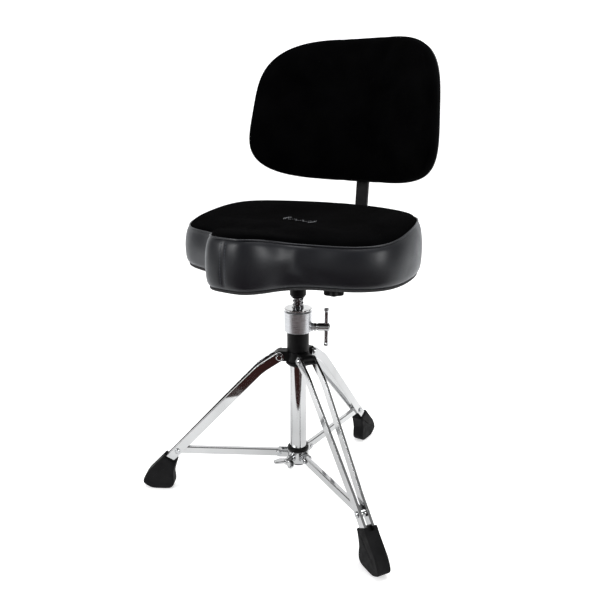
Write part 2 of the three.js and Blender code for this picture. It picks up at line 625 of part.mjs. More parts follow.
// A form with an outline at every level, from its middle or a free edge round to its middle or the same edge.
// A level gives how far it lies inside the outline, its share of the way out, and its height.
function pillow(outline, levels, segments, bend = () => 0) {
  const closed = levels[0].share === 0 ? levels : [...levels, levels[0]];
  const positions = [];
  for (let i = 0; i < segments; i++) {
    const edge = outline.getPoint(i / segments);
    const run = outline.getTangent(i / segments);
    for (const { inset = 0, share = 1, height } of closed) {
      const x = (edge.x - run.y * inset) * share;
      const y = (edge.y + run.x * inset) * share;
      positions.push(x, y, (height.call ? height(x, y) : height) + bend(x, y));
    }
  }
  // Every quad is split from its inner corner to the next outer one, so that neighbouring layers lie parallel.
  const faces = [];
  const reach = ({ inset = 0, share = 1 }) => share * 1000 - inset;
  for (let i = 0; i < segments; i++) {
    const next = ((i + 1) % segments) * closed.length;
    const here = i * closed.length;
    for (let j = 0; j + 1 < closed.length; j++) {
      const [a, b, c, d] = [here + j, next + j, next + j + 1, here + j + 1];
      if (reach(closed[j + 1]) > reach(closed[j])) faces.push(a, b, c, a, c, d);
      else faces.push(a, b, d, b, c, d);
    }
  }
  const geometry = new THREE.BufferGeometry();
  geometry.setAttribute('position', new THREE.Float32BufferAttribute(positions, 3));
  geometry.setIndex(faces);
  return solid(geometry);
}

// The levels of a flat face, from its middle to its edge.
const face = (height, inset, shares) => [...shares.map((share) => ({ share, height })), { inset, height }];

// From 0 at start to 1 at end, level at both.
function easedStep(value, start, end) {
  const t = Math.min(1, Math.max(0, (value - start) / (end - start)));
  return t * t * (3 - 2 * t);
}

// The seam dips beside the thighs, and rises over the nose and behind the hips.
function seamHeight(x, y) {
  const along = y / (SEAT_LENGTH / 2);
  const rise = NOSE_RISE * easedStep(-along, 0.51, 0.97) + HIP_RISE * easedStep(along, -0.48, 0.41)
    - REAR_FALL * easedStep(along, 0.41, 1);
  return boardBottom + SIDE_HEIGHT - THIGH_DIP + rise;
}

// The upholstery's outer surface from the lower edge to the middle of the top, drawn in by a depth.
function seatLevels(depth) {
  const rise = (share) => (x, y) => {
    const blend = 1 - share;
    return seamHeight(x, y) * share + (boardBottom + SIDE_HEIGHT - DISH) * blend + CROWN * (1 - share ** 14) - depth;
  };
  return [
    { inset: 3 + depth, height: boardBottom - 2 + depth },
    { inset: depth, height: boardBottom + 6 },
    { inset: depth - SIDE_BULGE, height: boardBottom + SIDE_HEIGHT * 0.45 },
    { inset: depth, height: (x, y) => seamHeight(x, y) - depth * 0.5 },
    { inset: depth * 0.5, share: 0.97, height: rise(0.97) },
    { share: 0.88, height: rise(0.88) },
    { share: 0.68, height: rise(0.68) },
    { share: 0.36, height: rise(0.36) },
    { share: 0, height: boardBottom + SIDE_HEIGHT - DISH + CROWN - depth },
  ];
}

function buildSeat() {
  const outline = seatOutline();
  const segments = 44;
  const lip = 0.86;
  const outer = seatLevels(0);
  const inner = seatLevels(COVER_WALL).reverse();
  const under = boardBottom - GAP;
  inner[inner.length - 1] = { inset: BOARD_INSET - 1, height: under };
  const hem = [{ share: lip, height: under - COVER_WALL + GAP }];
  const hemTop = [{ share: lip, height: under }];
  const coverLevels = [...hem, ...outer, ...inner.slice(1), ...hemTop];
  add(throne, 'seat_cover', pillow(outline, coverLevels, segments), 'upholstery');

  const boardTop = boardBottom + BOARD_THICKNESS;
  const boltSpot = SEAT_PLATE / 2 - 13;
  const boltBore = rod(SEAT_BOLT_DIAMETER / 2 + RUNNING, plateBottom - 1, boardTop + 1, 12);
  const spots = [[1, 1], [-1, 1], [-1, -1], [1, -1]].map(([x, y]) => [x * boltSpot, y * boltSpot, 0]);
  const bores = spots.map((spot) => boltBore.translate(spot));
  const board = pillow(outline, [...face(boardBottom, BOARD_INSET, [0]), ...face(boardTop, BOARD_INSET, [0]).reverse()],
    segments);
  add(throne, 'seat_board', cut(board, ...bores), 'wood');

  const foamTop = seatLevels(COVER_WALL + GAP * 2).slice(2);
  const foamBottom = boardTop + GAP;
  const foam = [{ share: 0, height: foamBottom }, { inset: BOARD_INSET, height: foamBottom }, ...foamTop];
  add(throne, 'seat_foam', pillow(outline, foam, segments), 'foam');

  const hubRadius = SEAT_HUB_DIAMETER / 2;
  const pocket = spindleRadius + GAP;
  const hub = turned([[pocket, seatHubBottom], [hubRadius - 3, seatHubBottom], [hubRadius, seatHubBottom + 5],
    [hubRadius, seatHubTop], [0, seatHubTop], [0, seatHubTop - 2 + GAP], [pocket, seatHubTop - 2 + GAP]]);
  add(throne, 'spindle_hub', hub, 'blackMetal');

  const plateTop = plateBottom + SEAT_PLATE_THICKNESS;
  const plate = raised(roundedRectangle(SEAT_PLATE, SEAT_PLATE, 12), plateBottom, plateTop);
  add(throne, 'seat_plate', cut(plate, ...bores), 'blackMetal');

  const radius = SEAT_BOLT_DIAMETER / 2;
  const headTop = plateBottom - GAP;
  const bolt = join(rod(radius * 1.85, headTop - 4, headTop, 6), rod(radius, headTop - 1, boardTop - 1, 12));
  spots.forEach((spot, i) => add(throne, `seat_bolt_${i + 1}`, bolt.translate(spot), 'steel'));
}

// ---- backrest post and rail ----
const postHalf = POST_THICKNESS / 2;
const railSlack = 0.4;

function postPath(offset) {
  // The middle line of the level part, the bend and the leaning part, moved sideways by an offset.
  const along = new THREE.Vector2(Math.sin(lean), Math.cos(lean));
  const radius = POST_BEND + offset;
  const bendAngle = Math.PI / 2 - lean;
  const centre = new THREE.Vector2(POST_BACK - POST_BEND * Math.tan(bendAngle / 2), postLevel + POST_BEND);
  const arc = Array.from({ length: 7 }, (_, i) => {
    const angle = -Math.PI / 2 + (bendAngle * i) / 6;
    return new THREE.Vector2(centre.x + radius * Math.cos(angle), centre.y + radius * Math.sin(angle));
  });
  const last = arc[arc.length - 1];
  const top = last.clone().addScaledVector(along, (POST_TOP - last.y) / along.y);
  return [new THREE.Vector2(POST_FRONT, postLevel - offset), ...arc, top];
}

const postAt = (height) => POST_BACK + (height - postLevel) * Math.tan(lean);

function buildPost() {
  const outline = [...postPath(postHalf), ...postPath(-postHalf).reverse()];
  const geometry = new THREE.ExtrudeGeometry(new THREE.Shape(outline), { depth: POST_WIDTH, bevelEnabled: false });
  const post = solid(geometry).rotate([90, 0, 0]).rotate([0, 0, 90]).translate([-POST_WIDTH / 2, 0, 0]);
  const trimmed = cut(post, block([-50, 0, POST_TOP - 4], [50, 600, POST_TOP + 60]));
  add(throne, 'back_post', trimmed, 'blackMetal');
  pivot(throne, 'depth_slide', [0, POST_FRONT, postLevel], [0, 1, 0]);
}

function buildRail() {
  const [halfWide, halfTall] = [POST_WIDTH / 2 + railSlack, postHalf + railSlack];
  const railBack = RAIL_FRONT + RAIL_LENGTH;
  const under = boardBottom - COVER_WALL - GAP * 2;
  const bottom = postLevel - halfTall - RAIL_WALL;
  const body = block([-halfWide - RAIL_WALL, RAIL_FRONT, bottom], [halfWide + RAIL_WALL, railBack, under - 1]);
  const flange = block([-halfWide - 18, RAIL_FRONT, under - 3], [halfWide + 18, railBack, under]);
  const channel = block([-halfWide, RAIL_FRONT - 1, postLevel - halfTall], [halfWide, railBack + 1, postLevel + halfTall]);
  const knobAt = RAIL_FRONT + RAIL_LENGTH / 2;
  const stemBore = rod(KNOB_STEM_DIAMETER / 2 + RUNNING, bottom - 1, postLevel, 16).translate([0, knobAt, 0]);
  add(throne, 'rail_bracket', cut(body.add(flange), channel, stemBore), 'blackMetal');

  const stemTop = postLevel - postHalf - GAP;
  const knobTop = bottom - KNOB_DROP;
  const knob = starKnob(KNOB_DIAMETER, KNOB_HEIGHT, KNOB_STEM_DIAMETER, stemTop - knobTop);
  add(throne, 'depth_knob', knob.translate([0, knobAt, knobTop]), 'blackPlastic');
  pivot(throne, 'depth_knob_turn', [0, knobAt, knobTop], [0, 0, 1]);
}

// A lobed hand knob that hangs below z = 0, with its threaded stem standing up from there.
function starKnob(diameter, height, stemDiameter, stemLength) {
  const lobes = 6;
  const outline = Array.from({ length: lobes * 4 }, (_, i) => {
    const angle = (i / (lobes * 4)) * Math.PI * 2;
    const radius = diameter / 2 - 2.5 + 2.5 * Math.cos(lobes * angle);
    return new THREE.Vector2(radius * Math.cos(angle), radius * Math.sin(angle));
  });
  const grip = raised(new THREE.Shape(outline), -height, -3);
  const neck = turned([[0, -4], [diameter * 0.35, -4], [diameter * 0.25, 2], [stemDiameter, 6], [0, 6]]);
  return join(grip, neck, rod(stemDiameter / 2, 0, stemLength, 16));
}

// ---- backrest ----
// The carriage's own frame: origin on the post's middle line, +Z up along the post, +Y backwards.
function carriageGroup() {
  const group = new THREE.Group();
  group.position.set(0, postAt(BACK_CENTRE), BACK_CENTRE);
  group.rotation.x = -lean;
  throne.add(group);
  return group;
}

const carriageFront = -(postHalf + railSlack + CARRIAGE_WALL) - FLANGE_THICKNESS; // the face that meets the board

function buildCarriage(group) {
  const [halfWide, halfDeep] = [POST_WIDTH / 2 + railSlack, postHalf + railSlack];
  const half = CARRIAGE_HEIGHT / 2;
  const back = halfDeep + CARRIAGE_WALL;
  const sleeve = block([-halfWide - CARRIAGE_WALL, carriageFront + 1, -half], [halfWide + CARRIAGE_WALL, back, half]);
  const flange = block([-FLANGE_WIDTH / 2, carriageFront, -half], [FLANGE_WIDTH / 2, carriageFront + FLANGE_THICKNESS, half]);
  const channel = block([-halfWide, -halfDeep, -half - 1], [halfWide, halfDeep, half + 1]);
  const knobBore = alongY(rod(KNOB_STEM_DIAMETER / 2 + RUNNING, 0, 60, 16), 0, 0);
  const boltSpot = FLANGE_WIDTH / 2 - 8;
  const boltBore = alongY(rod(SEAT_BOLT_DIAMETER / 2 + RUNNING, -60, 0, 12), 0, 0);
  const bores = [-boltSpot, boltSpot].map((x) => boltBore.translate([x, 0, 0]));
  add(group, 'back_bracket', cut(sleeve.add(flange), channel, knobBore, ...bores), 'blackMetal');

  const knobAt = back + 8;
  const knob = starKnob(KNOB_DIAMETER, KNOB_HEIGHT, KNOB_STEM_DIAMETER, knobAt - postHalf - GAP);
  add(group, 'height_knob', knob.rotate([90, 0, 0]).translate([0, knobAt, 0]), 'blackPlastic');
  pivot(group, 'height_knob_turn', [0, knobAt, 0], [0, 1, 0]);
  pivot(group, 'height_slide', [0, 0, 0], [0, 0, 1]);

  const radius = SEAT_BOLT_DIAMETER / 2;
  const headFace = carriageFront + FLANGE_THICKNESS + GAP;
  const shankEnd = carriageFront - GAP - BACK_BOARD_THICKNESS;
  const bolt = join(rod(radius * 1.85, headFace, headFace + 4, 6), rod(radius, shankEnd, headFace + 1, 12));
  [-boltSpot, boltSpot].forEach((x, i) => add(group, `back_bolt_${i + 1}`, alongY(bolt, x, 0), 'steel'));
  return bores;
}

// The pad is drawn flat, its front up, and then stood up: its height becomes the way forward.
function buildBackrest(group, bores) {
  const outline = backOutline();
  const segments = 28;
  const curve = (x) => BACK_CURVE * x * x;
  const rear = -carriageFront + GAP; // forward of the post's middle line
  const front = rear + BACK_THICKNESS;
  const levels = (depth) => [
    { inset: 4 + depth, height: rear + depth },
    { inset: depth, height: rear + 5 },
    { inset: depth - 3, height: rear + BACK_THICKNESS * 0.45 },
    { inset: depth, height: rear + BACK_THICKNESS * 0.75 },
    { inset: 5 + depth, height: front - 4 - depth },
    { share: 0.84, height: front - 1 - depth },
    { share: 0.56, height: front - depth },
    { share: 0.28, height: front - depth },
    { share: 0, height: front - depth },
  ];
  const stand = (made) => made.rotate([90, 0, 0]);
  const outer = levels(0);
  const inner = levels(COVER_WALL).reverse();
  const lip = 0.84;
  const hem = face(rear, BACK_BOARD_INSET, [lip]);
  const hemTop = face(rear + COVER_WALL, BACK_BOARD_INSET, [lip]).reverse();
  const coverLevels = [...hem, ...outer, ...inner, ...hemTop];
  add(group, 'back_cover', stand(pillow(outline, coverLevels, segments, curve)), 'upholstery');

  const boardRear = rear + COVER_WALL + GAP;
  const boardFront = boardRear + BACK_BOARD_THICKNESS;
  const steps = [0, 0.28, 0.56, lip];
  const boardLevels = [...face(boardRear, BACK_BOARD_INSET, steps), ...face(boardFront, BACK_BOARD_INSET, steps).reverse()];
  const board = pillow(outline, boardLevels, segments, curve);
  add(group, 'back_board', cut(stand(board), ...bores), 'blackPlastic');

  const foamRear = boardFront + GAP;
  const foamLevels = levels(COVER_WALL + GAP * 2).slice(3);
  const foam = [...face(foamRear, BACK_BOARD_INSET, steps), ...foamLevels];
  add(group, 'back_foam', stand(pillow(outline, foam, segments, curve)), 'foam');
}

function buildPostCap() {
  const group = new THREE.Group();
  const top = POST_TOP - 4;
  group.position.set(0, postAt(top), top);
  group.rotation.x = -lean;
  const [halfWide, halfDeep] = [POST_WIDTH / 2 + GAP, postHalf + GAP];
  const outer = block([-halfWide - 1.5, -halfDeep - 1.5, -POST_CAP_DEPTH], [halfWide + 1.5, halfDeep + 1.5, 3]);
  const pocket = block([-halfWide, -halfDeep, -POST_CAP_DEPTH - 1], [halfWide, halfDeep, GAP + 0.5]);
  add(group, 'post_cap', cut(outer, pocket), 'blackPlastic');
  throne.add(group);
}

buildColumn();
buildLegHub();
LEG_ANGLES.forEach((angle, index) => {
  const group = turnedGroup(angle);
  buildHubPin(index, group);
  buildLeg(index, group);
  buildBrace(index, group);
});
buildLowerCollar();
buildWingBolt();
buildLock();
buildSpindle();
buildSeat();
buildRail();
buildPost();
buildPostCap();
const carriage = carriageGroup();
buildBackrest(carriage, buildCarriage(carriage));

throne.updateMatrixWorld(true);
const bounds = new THREE.Box3().setFromObject(throne, true);
throne.position.y = -(bounds.min.y + bounds.max.y) / 2;

export default throne;
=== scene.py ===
"""A drum throne in Blender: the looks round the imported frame.

Shapes are worked out in millimetres from the column's axis, then placed in metres.
"""

import math
import json

import bmesh
import bpy
import numpy as np
from mathutils import Matrix, Vector
from mathutils.bvhtree import BVHTree

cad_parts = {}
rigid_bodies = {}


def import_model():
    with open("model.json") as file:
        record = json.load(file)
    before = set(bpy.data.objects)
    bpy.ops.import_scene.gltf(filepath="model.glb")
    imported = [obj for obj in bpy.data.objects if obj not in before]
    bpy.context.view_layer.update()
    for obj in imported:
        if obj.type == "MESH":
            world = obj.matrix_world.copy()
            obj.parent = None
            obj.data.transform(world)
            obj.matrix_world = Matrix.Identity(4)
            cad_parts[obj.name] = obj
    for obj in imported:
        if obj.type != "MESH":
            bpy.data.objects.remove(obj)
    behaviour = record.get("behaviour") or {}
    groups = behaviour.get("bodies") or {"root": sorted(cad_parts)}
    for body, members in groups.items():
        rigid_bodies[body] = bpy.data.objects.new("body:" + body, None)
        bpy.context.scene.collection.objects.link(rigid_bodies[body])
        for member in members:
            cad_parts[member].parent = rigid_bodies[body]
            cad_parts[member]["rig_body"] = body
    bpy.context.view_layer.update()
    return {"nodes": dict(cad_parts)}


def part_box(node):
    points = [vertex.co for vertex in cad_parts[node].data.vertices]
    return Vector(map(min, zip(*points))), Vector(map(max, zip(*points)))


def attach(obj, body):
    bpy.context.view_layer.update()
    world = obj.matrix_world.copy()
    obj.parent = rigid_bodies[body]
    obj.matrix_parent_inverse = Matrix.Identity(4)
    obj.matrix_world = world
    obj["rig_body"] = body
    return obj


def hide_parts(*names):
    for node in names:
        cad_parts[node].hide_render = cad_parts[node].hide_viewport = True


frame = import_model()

# ---- the frame's places, in millimetres from the column's axis ----
tube_low, tube_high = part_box("main_tube")
AXIS = Vector(((tube_low.x + tube_high.x) / 2, (tube_low.y + tube_high.y) / 2, 0))


def span(node):
    low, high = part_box(node)
    return (low - AXIS) * 1000, (high - AXIS) * 1000


def levels(node):
    low, high = span(node)
    return low.z, high.z


def bottom(node):
    return levels(node)[0]


def top(node):
    return levels(node)[1]


def radius_of(node):
    low, high = span(node)
    return max((high.x - low.x) / 2, (high.y - low.y) / 2)


LEG_ANGLES = [90, 210, 330]
GAP = 0.3
MM = 0.001

# ---- shapes: (vertices in mm, faces) ----


def shape(vertices, faces):
    return np.array(vertices, float).reshape(-1, 3), [tuple(int(i) for i in face) for face in faces]


def moved(made, matrix):
    vertices, faces = made
    matrix = np.array(matrix, float)
    return vertices @ matrix[:3, :3].T + matrix[:3, 3], faces


def turned(made, degrees, axis="Z"):
    return moved(made, Matrix.Rotation(math.radians(degrees), 4, axis))


def shifted(made, x=0, y=0, z=0):
    return moved(made, Matrix.Translation((x, y, z)))


def together(*shapes):
    vertices, faces, start = [], [], 0
    for made_vertices, made_faces in shapes:
        vertices.append(made_vertices)
        faces += [tuple(i + start for i in face) for face in made_faces]
        start += len(made_vertices)
    return np.vstack(vertices), faces


def add_object(name, data):
    o = bpy.data.objects.new(name, data)
    bpy.context.scene.collection.objects.link(o)
    return o


def mesh_object(name, vertices, faces, merge=0.0):
    """Adds a mesh with its faces turned outwards. Vertices closer than merge become one."""
    mesh = bpy.data.meshes.new(name)
    mesh.from_pydata(vertices.tolist(), [], faces)
    bm = bmesh.new()
    bm.from_mesh(mesh)
    if merge:
        bmesh.ops.remove_doubles(bm, verts=bm.verts, dist=merge)
    bmesh.ops.recalc_face_normals(bm, faces=bm.faces)
    bm.to_mesh(mesh)
    bm.free()
    return add_object(name, mesh)


def discard(o):
    mesh = o.data
    bpy.data.objects.remove(o)
    bpy.data.meshes.remove(mesh)


def boolean(kind, first, others):
    objects = [mesh_object("work", *made, merge=1e-4) for made in (first, *others)]
    for tool in objects[1:]:
        modifier = objects[0].modifiers.new("step", "BOOLEAN")
        modifier.operation, modifier.object, modifier.solver = kind, tool, "MANIFOLD"
    depsgraph = bpy.context.evaluated_depsgraph_get()
    mesh = bpy.data.meshes.new_from_object(objects[0].evaluated_get(depsgraph))
    made = shape([v.co[:] for v in mesh.vertices], [p.vertices[:] for p in mesh.polygons])
    bpy.data.meshes.remove(mesh)
    for o in objects:
        discard(o)
    return made


def union(first, *others):
    return boolean("UNION", first, others)


def cut(first, *others):
    return boolean("DIFFERENCE", first, others)


def common(first, *others):
    return boolean("INTERSECT", first, others)


def eased(points, radius, closed, steps=4):
    """Rounds the corners of a 2-D line."""
    points = [Vector(p) for p in points]
    out = []
    for i, corner in enumerate(points):
        if not closed and i in (0, len(points) - 1):
            out.append(corner)
            continue
        before, after = points[i - 1] - corner, points[(i + 1) % len(points)] - corner
        turn = before.angle(after)
        if radius <= 0 or turn > math.radians(170):
            out.append(corner)
            continue
        reach = min(radius / math.tan(turn / 2), before.length * 0.45, after.length * 0.45)
        start, end = corner + before.normalized() * reach, corner + after.normalized() * reach
        for k in range(steps + 1):
            t = k / steps
            out.append(start * (1 - t) ** 2 + corner * (2 * t * (1 - t)) + end * t * t)
    return out


def arc(x, y, radius, start, end, count):
    return [Vector((x + radius * math.cos(a), y + radius * math.sin(a))) for a in np.linspace(start, end, count)]


def lathe(points, segments=96, rounding=0.6):
    """A turned solid about Z from (radius, height) points. It closes on itself unless it starts on the axis."""
    ring = points[0][0] > 0
    profile = eased(points, rounding, ring)
    angles = np.linspace(0, 2 * math.pi, segments, endpoint=False)
    vertices, rows = [], []
    for p in profile:
        if p.x < 1e-6:
            rows.append([len(vertices)] * segments)
            vertices.append((0, 0, p.y))
        else:
            rows.append(list(range(len(vertices), len(vertices) + segments)))
            vertices += [(p.x * math.cos(a), p.x * math.sin(a), p.y) for a in angles]
    if ring:
        rows.append(rows[0])
    faces = []
    for a, b in zip(rows, rows[1:]):
        for i in range(segments):
            j = (i + 1) % segments
            quad = list(dict.fromkeys([a[i], a[j], b[j], b[i]]))
            if len(quad) > 2:
                faces.append(quad)
    return shape(vertices, faces)


def rod(radius, low, high, rounding=0.0, segments=48):
    return lathe([(0, low), (radius, low), (radius, high), (0, high)], segments, rounding)


def block(low, high):
    corners = [(x, y, z) for x in (low[0], high[0]) for y in (low[1], high[1]) for z in (low[2], high[2])]
    return shape(corners, [(0, 1, 3, 2), (4, 6, 7, 5), (0, 4, 5, 1), (2, 3, 7, 6), (0, 2, 6, 4), (1, 5, 7, 3)])


def along_x(made):
    return turned(made, 90, "Y")


def along_y(made):
    return turned(made, -90, "X")


def loops(rings, cap=True, closed_along=False):
    """A skin through rings of the same count of points."""
    count = len(rings[0])
    vertices = [p for ring in rings for p in ring]
    faces = []
    for a in range(len(rings) if closed_along else len(rings) - 1):
        b = (a + 1) % len(rings)
        for i in range(count):
            j = (i + 1) % count
            faces.append((a * count + i, a * count + j, b * count + j, b * count + i))
    if cap and not closed_along:
        faces.append(tuple(range(count))[::-1])
        faces.append(tuple(range((len(rings) - 1) * count, len(rings) * count)))
    return shape(vertices, faces)


def inset_line(points, amount):
    """A closed 2-D line moved inwards; it runs anticlockwise."""
    out = []
    for i, p in enumerate(points):
        before = (p - points[i - 1]).normalized()
        after = (points[(i + 1) % len(points)] - p).normalized()
        mid = before + after
        mid = mid.normalized() if mid.length > 1e-9 else before
        inward = Vector((-mid.y, mid.x))
        out.append(p + inward * (amount / max(0.4, Vector((-before.y, before.x)).dot(inward))))
    return out


def anticlockwise(points):
    area = sum(a.x * b.y - b.x * a.y for a, b in zip(points, points[1:] + points[:1]))
    return points if area > 0 else points[::-1]


def plate(outline, low, high, edge=0.8, steps=3):
    """An outline raised from low to high with rounded rims."""
    outline = anticlockwise([Vector(p) for p in outline])
    quarter = [math.pi / 2 * k / steps for k in range(steps + 1)]
    levels = [(edge * (1 - math.sin(a)), low + edge * (1 - math.cos(a))) for a in quarter]
    levels += [(edge * (1 - math.cos(a)), high - edge * (1 - math.sin(a))) for a in quarter]
    rings = [[(p.x, p.y, height) for p in inset_line(outline, inset)] for inset, height in levels]
    return loops(rings)


def side_on(made):
    """A shape raised from the X-Z plane, with its thickness along Y."""
    vertices, faces = made
    return vertices[:, [0, 2, 1]], faces


def section(wide, tall, radius, steps=3):
    """A rounded rectangle's points, anticlockwise."""
    corners = [(wide / 2, -tall / 2), (wide / 2, tall / 2), (-wide / 2, tall / 2), (-wide / 2, -tall / 2)]
    return eased(corners, radius, True, steps)


# ---- materials ----


class Finish:
    """A procedural material on a Principled shader. Patterns read the object's own coordinates, in metres."""

    def __init__(self, name, color, roughness, metallic=0.0, **plain):
        self.name = name
        self.material = bpy.data.materials.new(name + "_finish")
        self.material.use_nodes = True
        self.tree = self.material.node_tree
        self.shader = self.tree.nodes["Principled BSDF"]
        self.coordinates = self.tree.nodes.new("ShaderNodeTexCoord").outputs["Object"]
        self.shader.inputs["Base Color"].default_value = (*color, 1)
        self.shader.inputs["Roughness"].default_value = roughness
        self.shader.inputs["Metallic"].default_value = metallic
        for socket, value in plain.items():
            self.shader.inputs[socket.replace("_", " ")].default_value = value
        self.normal = None

    def node(self, kind, **inputs):
        node = self.tree.nodes.new(kind)
        for socket, value in inputs.items():
            target = node.inputs[socket.replace("_", " ")]
            if isinstance(value, bpy.types.NodeSocket):
                self.tree.links.new(value, target)
            else:
                target.default_value = value
        return node

    def pattern(self, source):
        """Noise from (scale, detail) or (scale, detail, stretch). A socket stays as it is."""
        if not isinstance(source, tuple):
            return source
        scale, detail, *stretch = source
        vector = self.coordinates
        if stretch:
            vector = self.node("ShaderNodeMapping", Vector=vector, Scale=stretch[0]).outputs["Vector"]
        return self.node("ShaderNodeTexNoise", Vector=vector, Scale=scale, Detail=detail).outputs["Fac"]

    def cells(self, scale, feature="DISTANCE_TO_EDGE", vector=None):
        node = self.node("ShaderNodeTexVoronoi", Vector=vector or self.coordinates, Scale=scale)
        node.feature = feature
        return node.outputs["Distance"]

    def colors(self, source, dark, light, start=0.3, end=0.7):
        """Colour from dark to light as the source runs from start to end."""
        node = self.node("ShaderNodeValToRGB", Fac=self.pattern(source))
        for element, place, color in zip(node.color_ramp.elements, (start, end), (dark, light)):
            element.position, element.color = place, (*color, 1)
        self.tree.links.new(node.outputs["Color"], self.shader.inputs["Base Color"])
        return self

    def rough(self, source, low, high):
        """Roughness from low to high as the source runs from 0.3 to 0.7."""
        value = self.pattern(source)
        node = self.node("ShaderNodeMapRange", Value=value, From_Min=0.3, From_Max=0.7, To_Min=low, To_Max=high)
        self.tree.links.new(node.outputs["Result"], self.shader.inputs["Roughness"])
        return self

    def bump(self, source, depth, strength=1.0):
        node = self.node("ShaderNodeBump", Height=self.pattern(source), Strength=strength, Distance=depth)
        if self.normal:
            self.tree.links.new(self.normal, node.inputs["Normal"])
        self.normal = node.outputs["Normal"]
        self.tree.links.new(self.normal, self.shader.inputs["Normal"])
        return self


def black_metal():
    made = Finish("black_metal", (0.003, 0.003, 0.004), 0.4, Specular_IOR_Level=0.12).rough((90, 3), 0.32, 0.5)
    made.colors((40, 4), (0.0015, 0.0012, 0.0018), (0.004, 0.0035, 0.0045), 0.35, 0.8)
    return made.bump(made.cells(1100, "SMOOTH_F1"), 0.00008, 0.35)


def velour():
    made = Finish("velour", (0.0012, 0.0012, 0.0013), 1.0, Specular_IOR_Level=0.0, Sheen_Weight=0.008,
        Sheen_Roughness=0.45)
    patches = made.pattern((16, 4))
    made.colors(patches, (0.0006, 0.0006, 0.0007), (0.0018, 0.0018, 0.002), end=0.75)
    return made.bump(patches, 0.0006, 0.3).bump((1900, 2, (1, 1.7, 1)), 0.0005, 0.8)


def vinyl():
    made = Finish("vinyl", (0.006, 0.006, 0.008), 0.4, Specular_IOR_Level=0.22, Coat_Weight=0.3, Coat_Roughness=0.32,
        Coat_Tint=(0.8, 0.9, 1, 1))
    made.rough((30, 4), 0.34, 0.48).colors((12, 3), (0.003, 0.003, 0.0045), (0.006, 0.006, 0.0085), end=0.75)
    made.bump((55, 3), 0.0006, 0.25)
    wander = made.node("ShaderNodeTexNoise", Vector=made.coordinates, Scale=300.0).outputs["Color"]
    drift = made.node("ShaderNodeMixRGB", Fac=0.004, Color1=made.coordinates, Color2=wander).outputs["Color"]
    return made.bump(made.cells(750, vector=drift), 0.00022, 0.5)


def thread(name, color):
    made = Finish(name, color, 0.55, Sheen_Weight=0.3, Sheen_Roughness=0.4)
    made.colors((2200, 2, (1, 1, 3)), tuple(c * 0.55 for c in color), color, start=0.35)
    return made.bump((2600, 2, (2, 1, 3)), 0.0002, 0.6)


def stained_wood():
    made = Finish("stained_wood", (0.01, 0.009, 0.008), 0.75, Specular_IOR_Level=0.2)
    grain = made.pattern((1, 6, (18, 160, 900)))
    made.colors(grain, (0.004, 0.0035, 0.003), (0.014, 0.012, 0.01), 0.35, 0.65)
    return made.rough(grain, 0.6, 0.85).bump(grain, 0.0002, 0.6)


MATERIALS = {made.name: made.material for made in [
    Finish("chrome", (0.46, 0.465, 0.47), 0.06, 1.0).rough((45, 6), 0.035, 0.12)
        .colors((9, 2), (0.4, 0.405, 0.41), (0.51, 0.515, 0.52))
        .bump((30, 1), 0.00012, 0.25).bump((900, 2), 0.00001, 0.3),
    Finish("dark_chrome", (0.2, 0.2, 0.21), 0.12, 1.0).rough((160, 4), 0.08, 0.24)
        .colors((70, 3), (0.1, 0.1, 0.105), (0.3, 0.3, 0.31)).bump((800, 2), 0.00002, 0.4),
    Finish("satin_silver", (0.5, 0.51, 0.53), 0.3, 1.0).rough((1, 3, (60, 60, 2500)), 0.24, 0.4)
        .colors((1, 2, (30, 30, 900)), (0.43, 0.44, 0.46), (0.58, 0.59, 0.61))
        .bump((1, 2, (80, 80, 3200)), 0.00003, 0.5),
    Finish("steel", (0.42, 0.43, 0.44), 0.25, 1.0).rough((140, 4), 0.14, 0.34)
        .colors((60, 3), (0.34, 0.35, 0.36), (0.5, 0.51, 0.52)).bump((700, 2), 0.00002, 0.4),
    Finish("black_plastic", (0.004, 0.004, 0.004), 0.42, Specular_IOR_Level=0.12).rough((220, 3), 0.34, 0.52)
        .colors((25, 3), (0.0015, 0.0015, 0.0015), (0.004, 0.004, 0.0045), end=0.75).bump((2400, 2), 0.00006, 0.5),
    black_metal(),
    Finish("rubber", (0.006, 0.006, 0.006), 0.7, Specular_IOR_Level=0.1).rough((70, 4), 0.55, 0.8)
        .colors((38, 5), (0.003, 0.003, 0.0035), (0.009, 0.009, 0.0095), end=0.8).bump((1300, 3), 0.00015, 0.5),
    velour(), vinyl(),
    Finish("trim_cloth", (0.012, 0.012, 0.013), 0.9)
        .colors((500, 3), (0.006, 0.006, 0.007), (0.03, 0.03, 0.032), start=0.35)
        .bump((1500, 3, (3, 1, 1)), 0.0003, 0.6),
    thread("seam_thread", (0.035, 0.045, 0.062)), thread("silver_thread", (0.3, 0.31, 0.33)),
    Finish("nylon", (0.7, 0.68, 0.6), 0.5, Subsurface_Weight=0.1).rough((200, 3), 0.4, 0.6)
        .bump((800, 2), 0.00004, 0.4),
    stained_wood()]}

# ---- placing pieces ----


def smooth(mesh):
    mesh.polygons.foreach_set("use_smooth", [True] * len(mesh.polygons))


def wear(mesh, *finishes):
    mesh.materials.clear()
    for finish in finishes:
        mesh.materials.append(MATERIALS[finish])


def place(name, made, finish, nodes=(), body=None, slot=None, sharp=35, hard=True):
    """Adds a piece in metres. It rides with the nodes it stands for, or with a body.

    Its slot has its finish's name; the slot argument is not used.
    """
    vertices, faces = made
    o = mesh_object(name, vertices * MM + np.array(AXIS), faces, merge=1e-7)
    smooth(o.data)
    o.data.set_sharp_from_angle(angle=math.radians(sharp))
    wear(o.data, *([finish] if isinstance(finish, str) else finish))
    if hard:
        o.modifiers.new("even normals", "WEIGHTED_NORMAL").keep_sharp = True
    settle(o, nodes, body)
    return o


